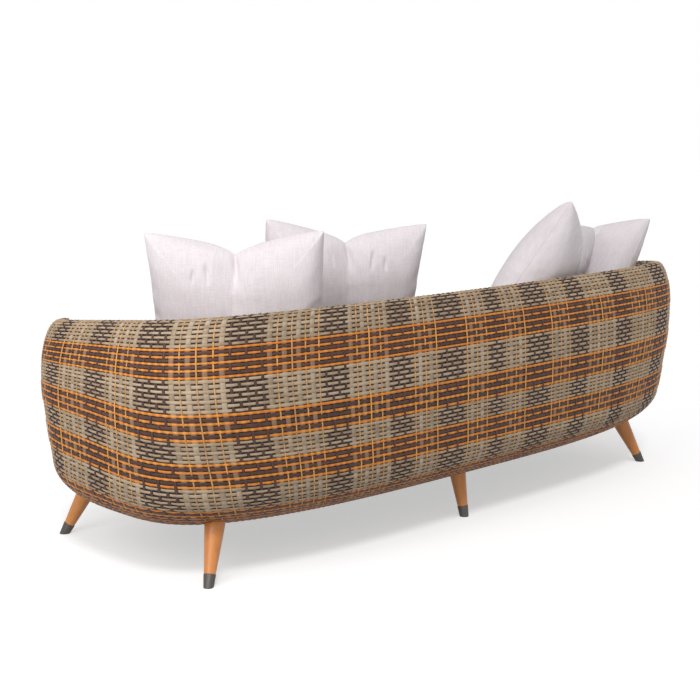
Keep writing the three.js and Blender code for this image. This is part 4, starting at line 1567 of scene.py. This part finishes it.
@dataclass
class Cushions:
    """Stuffed cushions: their places, and how their covers are fitted, folded and seamed."""

    seam_radius: float = 0.0014
    welt_radius: float = 0.0028
    welt_offset: float = 0.052
    seam_steps: int = 440
    full: float = 1.005
    off_seam: float = 0.0015
    shoulder: float = 0.008
    shoulder_at: float = 0.05
    smoothings: int = 3
    frames: int = 20
    quality: int = 4
    quick_voxels: float = 1.6
    outline_steps: int = 720
    seam_sides: int = 8
    fallback: float = 0.2
    ray_length: float = 3.0
    folds: tuple[Fold, ...] = (
        Fold(0.0, -0.22, 0.50, 0.0, 0.065, 0.007),
        Fold(0.072, -0.16, 0.13, -0.012, 0.07, 0.006),
        Fold(0.104, 0.08, 0.08, 0.006, 0.05, 0.005),
        Fold(-0.058, 0.20, 0.06, -0.008, 0.06, 0.006),
    )
    places: tuple[Soft, ...] = (
        Soft("seat_cushion_left", Slot.SEAT_FABRIC, voxel=0.0095, shrink=0.985, pressure=2.0, cap=0.014, fill=0.9),
        Soft("seat_cushion_right", Slot.SEAT_FABRIC, voxel=0.0095, shrink=0.985, pressure=2.0, cap=0.014, fill=0.9),
        Soft("scatter_cushion_left_outer", Slot.SCATTER_FABRIC, 223, 14.7, -0.9, wide=1.02, tall=1.05),
        Soft("scatter_cushion_left_inner", Slot.SCATTER_FABRIC, 240, 14, 2.8, wide=1.01, tall=1.05, hand=-1),
        Soft("scatter_cushion_right_inner", Slot.SCATTER_FABRIC, 288.4, 30.4, 16.8),
        Soft("scatter_cushion_right_outer", Slot.SCATTER_FABRIC, 352.3, 33.9, 5),
    )

    def build(self, finishes: dict[Slot, Material]) -> list[Object]:
        """Makes every cushion and its seams.

        Args:
            finishes: A material for each slot.

        Returns:
            The pieces.
        """
        made = []
        for soft in self.places:
            cover = Cover(soft, self)
            cover.blow_up()
            cover.finish()
            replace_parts(dress(cover.obj, soft.slot, finishes[soft.slot]), soft.node)
            made.append(cover.obj)
            offsets = {"top_welt": self.welt_offset, "bottom_welt": -self.welt_offset}
            for kind, offset in ({"seam": 0.0} if cover.scatter else offsets).items():
                made.append(dress(cover.seam(f"{soft.node}_{kind}", offset), soft.slot, finishes[soft.slot]))
        return made


class Cover:
    """The cover of one cushion: blown up as cloth from its CAD solid, then fitted, folded and seamed."""

    def __init__(self, soft: Soft, kit: Cushions) -> None:
        """Copies the CAD solid, welds it, shrinks it and remeshes it.

        Args:
            soft: The cushion.
            kit: How covers are made.
        """
        self.soft, self.kit = soft, kit
        self.scatter = soft.slot is Slot.SCATTER_FABRIC
        self.axes = np.array(soft.axes())
        self.solid = frame["nodes"][soft.node].data
        bm = bmesh.new()
        bm.from_mesh(self.solid)
        bmesh.ops.remove_doubles(bm, verts=bm.verts, dist=1e-5)
        low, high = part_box(soft.node)
        self.middle = (low + high) / 2
        if self.scatter:
            self.middle = sum((vert.co for vert in bm.verts), Vector()) / len(bm.verts)
        spots = np.array([vert.co - self.middle for vert in bm.verts]) @ self.axes
        self.low, self.high = spots.min(0), spots.max(0)
        there, back = Matrix.Translation(self.middle), Matrix.Translation(-self.middle)
        bmesh.ops.transform(bm, matrix=there @ Matrix.Scale(soft.shrink, 4) @ back, verts=bm.verts)
        self.obj = from_bmesh(soft.node + "_cover", bm)
        remesh = self.obj.modifiers.new("Even", "REMESH")
        remesh.mode = "VOXEL"
        remesh.voxel_size = soft.voxel * 1
        self._apply()

    def _apply(self) -> None:
        """Puts what the modifiers show into the mesh, and removes them."""
        graph = bpy.context.evaluated_depsgraph_get()
        mesh = bpy.data.meshes.new_from_object(self.obj.evaluated_get(graph))
        self.obj.modifiers.clear()
        self.obj.data = mesh

    def _spots(self) -> Array:
        """Returns the points of the cover on the cushion's own axes."""
        return (coordinates(self.obj.data) - np.array(self.middle)) @ self.axes

    def _put(self, spots: Array) -> None:
        """Moves the points of the cover to places on the cushion's own axes."""
        move_to(self.obj.data, spots @ self.axes.T + np.array(self.middle))

    def blow_up(self) -> None:
        """Fills the cover by cloth simulation, with a cap on how far a point moves."""
        before = coordinates(self.obj.data)
        cloth = self.obj.modifiers.new("Filling", "CLOTH")
        cloth.settings.use_pressure = True
        cloth.settings.uniform_pressure_force = self.soft.pressure
        cloth.settings.effector_weights.gravity = 0
        cloth.settings.quality = self.kit.quality
        scene = bpy.context.scene
        for number in range(1, self.kit.frames + 1):
            scene.frame_set(number)
        self._apply()
        scene.frame_set(1)
        moved = coordinates(self.obj.data) - before
        far = np.linalg.norm(moved, axis=1)
        limit = self.soft.cap * np.tanh(far / self.soft.cap)
        move_to(self.obj.data, before + moved * (limit / np.maximum(far, 1e-9))[:, None])

    def finish(self) -> None:
        """Smooths, subdivides and fits the cover, and notes its own coordinates for the cloth."""
        with edited(self.obj.data) as bm:
            for _ in range(self.kit.smoothings):
                bmesh.ops.smooth_vert(bm, verts=bm.verts, factor=0.5, use_axis_x=True, use_axis_y=True,
                                      use_axis_z=True)
        if self.scatter:
            level = self.obj.modifiers.new("Finer", "SUBSURF")
            level.levels = level.render_levels = 1
            self._apply()
        spots = self._spots()
        low, high = spots.min(0), spots.max(0)
        fitted = self.low + (spots - low) / (high - low) * (self.high - self.low)
        if self.scatter:
            fitted *= self.kit.full
            fitted[:, 2] = spots[:, 2]
        self._put(fitted)
        if self.scatter:
            self._follow()
        note(self.obj.data, "cloth", self._spots())

    def _rays(self, mesh: Mesh, offset: float, angles: Iterable[float]) -> Iterator[tuple[Any, ...]]:
        """Sends rays through a closed form, in a plane along the cushion's face.

        Args:
            mesh: The form.
            offset: How far the plane lies from the middle.
            angles: Directions of the rays in the plane, in radians.

        Yields:
            The start and the direction of a ray, and the point where it ends and its length, or None for both.
        """
        bm = bmesh.new()
        bm.from_mesh(mesh)
        tree = BVHTree.FromBMesh(bm)
        bm.free()
        axes = self.soft.axes()
        start = self.middle + axes.col[2] * offset
        for angle in angles:
            way = axes.col[0] * math.cos(angle) + axes.col[1] * math.sin(angle)
            hit, _, _, gap = tree.ray_cast(start, way, self.kit.ray_length)
            yield start, way, hit, gap

    def _reach(self, mesh: Mesh, angles: Array) -> Array:
        """Measures how far a closed form reaches from the middle, beside the face plane.

        Args:
            mesh: The form.
            angles: Directions in the face plane, in radians.

        Returns:
            One distance for each direction.
        """
        rays = self._rays(mesh, self.kit.off_seam, angles)
        far = np.array([np.nan if hit is None else gap for _, _, hit, gap in rays])
        good = ~np.isnan(far)
        return np.interp(angles, angles[good], far[good], period=2 * math.pi)

    def _follow(self) -> None:
        """Brings the outline to that of the CAD solid, with round shoulders and folds beside a chop."""
        kit, soft = self.kit, self.soft
        angles = np.linspace(-math.pi, math.pi, kit.outline_steps, endpoint=False)
        have = self._reach(self.obj.data, angles)
        want = self._reach(self.solid, angles) * kit.full
        spots = self._spots()
        turn = np.arctan2(spots[:, 1], spots[:, 0])
        share = np.hypot(spots[:, 0], spots[:, 1]) / np.interp(turn, angles, have, period=2 * math.pi)
        ratio = np.interp(turn, angles, want / have, period=2 * math.pi)
        spots[:, :2] *= (1 + (ratio - 1) * np.minimum(share, 1) ** 2)[:, None]
        aside = np.abs(spots[:, 0]) / kit.shoulder_at
        rise = np.minimum(share, 1) ** 3 * np.clip(spots[:, 1] / kit.shoulder_at, 0, 1)
        spots[:, 1] += kit.shoulder * aside * np.exp(1 - aside) * rise
        below = np.interp(math.pi / 2, angles, want) - spots[:, 1]
        for fold in kit.folds:
            spots[:, 2] *= 1 - fold.groove(spots[:, 0] * (soft.hand if fold.start else 1), below)
        spots[:, 0] *= soft.wide
        spots[:, 1] *= np.where(spots[:, 1] > 0, soft.tall, 1.0)
        self._put(spots)

    def seam(self, name: str, offset: float) -> Object:
        """Lays a thin cord of cloth along the outline of the cover.

        Args:
            name: Name of the seam.
            offset: How far it lies from the middle along the face axis.

        Returns:
            The seam.
        """
        kit, face = self.kit, np.array(self.soft.axes().col[2])
        centre = self.middle + self.soft.axes().col[2] * offset
        angles = [2 * math.pi * k / kit.seam_steps for k in range(kit.seam_steps)]
        line = np.array([start + way * kit.fallback if hit is None else hit
                         for start, way, hit, _ in self._rays(self.obj.data, offset, angles)])
        for _ in range(2):
            line = (np.roll(line, 1, 0) + 2 * line + np.roll(line, -1, 0)) / 4
        outward = line - np.array(centre)
        outward /= np.linalg.norm(outward, axis=1)[:, None]
        radius = kit.seam_radius if self.scatter else kit.welt_radius

        def shape(step: Array, side: Array, strand: Array) -> tuple[Array, Array]:
            """Bends the grid into the cord.

            Args:
                step: Steps along the seam.
                side: Corners round the cord.
                strand: Always 0; not used.

            Returns:
                Points in the scene and on the cushion's axes, one a row.
            """
            at = step.astype(int) % kit.seam_steps
            turn = 2 * math.pi * side / kit.seam_sides
            spots = line[at] + (outward[at] * np.cos(turn)[:, None] + face * np.sin(turn)[:, None]) * radius
            return spots, (spots - np.array(self.middle)) @ self.axes

        cord = Grids(name, kit.seam_steps, 1, kit.seam_sides).build(shape)
        cord.data.attributes["strand"].name = "cloth"
        return cord


@dataclass
class Studio:
    """Pale floor, white backdrop, plain soft light and the camera."""

    lens: float = 72.50
    sensor: float = 36.0
    place: tuple[float, float, float] = (3.226, 3.1228, 1.2305)
    azimuth: float = 135.743
    elevation: float = 9.407
    floor_size: float = 30.0
    floor_tone: Colour = (0.62, 0.62, 0.625)
    floor_glow: float = 0.5
    sky_strength: float = 0.47
    sun_strength: float = 1.3
    sun_spread: float = 12.0
    sun_from: tuple[float, float, float] = (0.5, 0.6, 1.0)
    panel_size: float = 1.8
    panel_power: float = 41.0
    panel_place: tuple[float, float, float] = (3.2, 0.9, 1.9)
    panel_aim: tuple[float, float, float] = (0.7, 0.0, 0.5)
    far: float = 200.0

    def floor(self) -> None:
        """Makes the floor, which the camera sees as white where no shadow falls."""
        bm = bmesh.new()
        bmesh.ops.create_grid(bm, x_segments=1, y_segments=1, size=self.floor_size)
        plane = from_bmesh("floor", bm)
        paint = Paint("pale_floor")
        paint.set(Base_Color=self.floor_tone, Roughness=0.9, Specular_IOR_Level=0.2)
        rays = paint.tree.nodes.new("ShaderNodeLightPath")
        seen = Wire(paint, rays.outputs["Is Camera Ray"])
        for name in ("Is Glossy Ray", "Is Transmission Ray"):
            seen = seen + Wire(paint, rays.outputs[name])
        glow = paint.node("ShaderNodeEmission", None, {"Color": (1.0, 1.0, 1.0), "Strength": seen * self.floor_glow})
        both = paint.node("ShaderNodeAddShader", None, {0: Wire(paint, paint.shader.outputs[0]), 1: glow})
        paint.feed(paint.out.inputs["Surface"], both)
        plane.data.materials.append(paint.material)

    def world(self) -> None:
        """Makes a plain even sky that the camera sees as white."""
        world = bpy.data.worlds.new("studio")
        world.use_nodes = True
        bpy.context.scene.world = world
        tree = world.node_tree
        tree.nodes.clear()
        out, sky, white, rays, either, mix = (tree.nodes.new("ShaderNode" + kind) for kind in (
            "OutputWorld", "Background", "Background", "LightPath", "Math", "MixShader"))
        either.operation = "MAXIMUM"
        for shader, strength in ((sky, self.sky_strength), (white, 1.0)):
            shader.inputs[0].default_value = (1.0, 1.0, 1.0, 1.0)
            shader.inputs[1].default_value = strength
        for source, target in ((rays.outputs["Is Camera Ray"], either.inputs[0]),
                               (rays.outputs["Is Glossy Ray"], either.inputs[1]),
                               (either.outputs[0], mix.inputs[0]), (sky.outputs[0], mix.inputs[1]),
                               (white.outputs[0], mix.inputs[2]), (mix.outputs[0], out.inputs[0])):
            tree.links.new(source, target)

    @staticmethod
    def _hang(name: str, data: ID, place: Sequence[float], back: Vector) -> Object:
        """Puts a lamp or camera in the scene.

        Args:
            name: Its name.
            data: The lamp or camera.
            place: Where it is.
            back: The direction opposite to the one it looks in.

        Returns:
            The new object.
        """
        obj = bpy.data.objects.new(name, data)
        obj.location = place
        obj.rotation_euler = back.to_track_quat("Z", "Y").to_euler()
        bpy.context.scene.collection.objects.link(obj)
        return obj

    def lamps(self) -> None:
        """Makes a soft key light from above and a broad panel beside the near end."""
        lamp = bpy.data.lights.new("key", "SUN")
        lamp.energy = self.sun_strength
        lamp.angle = math.radians(self.sun_spread)
        self._hang("key", lamp, (0, 0, 0), Vector(self.sun_from))
        panel = bpy.data.lights.new("panel", "AREA")
        panel.shape = "SQUARE"
        panel.size = self.panel_size
        panel.energy = self.panel_power
        self._hang("panel", panel, self.panel_place, Vector(self.panel_place) - Vector(self.panel_aim))

    def camera(self) -> None:
        """Makes the camera at the photograph's viewing angle."""
        data = bpy.data.cameras.new("camera")
        data.lens = self.lens
        data.sensor_width = self.sensor
        data.clip_end = self.far
        a, e = math.radians(self.azimuth), math.radians(self.elevation)
        back = Vector((math.sin(a) * math.cos(e), -math.cos(a) * math.cos(e), math.sin(e)))
        bpy.context.scene.camera = self._hang("camera", data, self.place, back)

    def build(self) -> None:
        """Sets the whole studio up."""
        bpy.context.scene.view_settings.view_transform = "Standard"
        self.camera()
        self.floor()
        self.world()
        self.lamps()


@dataclass
class Carried:
    """CAD nodes that stay as they are and get their finishes."""

    finishes: dict[Slot, Material]

    def build(self) -> int:
        """Gives every CAD node the material of its slot.

        Returns:
            How many nodes there are.
        """
        slots = {part["node"]: Slot(part["material_slot"]) for part in frame["record"]["subparts"]}
        for name, obj in frame["nodes"].items():
            obj.data.materials.clear()
            obj.data.materials.append(self.finishes[slots[name]])
        return len(slots)


def main() -> None:
    """Builds the studio and every sub-assembly, in order."""
    logging.basicConfig(level=logging.INFO, format="%(name)s: %(message)s")
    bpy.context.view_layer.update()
    Studio().build()
    log.info("studio: floor, sky, lamp and camera")
    weave = Weave()
    # The third colour of each strand finish is its painted highlight.
    grey = (srgb(181, 160, 134), srgb(144, 122, 98), srgb(212, 196, 172))
    orange = (srgb(234, 150, 54), srgb(208, 122, 40), srgb(248, 184, 98))
    strands = {
        Shade.GREY: StrandFinish("grey_strand", *grey).make(),
        Shade.DARK: StrandFinish("dark_strand", srgb(80, 50, 42), srgb(54, 33, 28), srgb(108, 74, 60)).make(),
        # The orange strand has less painted shade at its edges, and painted shade in its dips between stakes.
        Shade.ORANGE: StrandFinish("orange_strand", *orange, edge=0.35, beat=0.6).make(),
    }
    grey_stake = StrandFinish("grey_stake", *grey, dyed=srgb(124, 88, 68), spans=weave.spans()).make()
    orange_stake = StrandFinish("orange_stake", srgb(222, 160, 88), srgb(178, 136, 92), srgb(240, 196, 130)).make()
    cloth = FabricFinish("plain_cloth", srgb(236, 229, 232), srgb(218, 209, 213)).make()
    finishes = {
        # The weave slot's finish is painted shade for the depth between the strands.
        Slot.WEAVE: DepthShadeFinish().make(),
        Slot.FRAME: MetalFinish("powder_coat", srgb(84, 74, 68), srgb(104, 94, 86), 0.0, 0.45).make(),
        Slot.WOOD: WoodFinish().make(),
        Slot.FERRULE: MetalFinish("satin_metal", srgb(82, 77, 73), srgb(102, 96, 91), 0.4, 0.45).make(),
        Slot.BOARD: BoardFinish().make(),
        Slot.SEAT_FABRIC: cloth,
        Slot.SCATTER_FABRIC: cloth,
    }
    log.info("CAD nodes with their finishes: %d", Carried(finishes).build())
    groups = {
        "lining": weave.lining_pieces(finishes[Slot.WEAVE]),
        "weave": weave.build(strands, {**strands, Shade.GREY: grey_stake, Shade.ORANGE: orange_stake}),
        "legs": Legs().build(finishes[Slot.WOOD], finishes[Slot.FERRULE]),
        "cushions": Cushions().build(finishes),
    }
    for group, pieces in groups.items():
        for piece in pieces:
            log.info("%s: %s, %d faces", group, piece.name, len(piece.data.polygons))


if __name__ == "__main__":
    main()
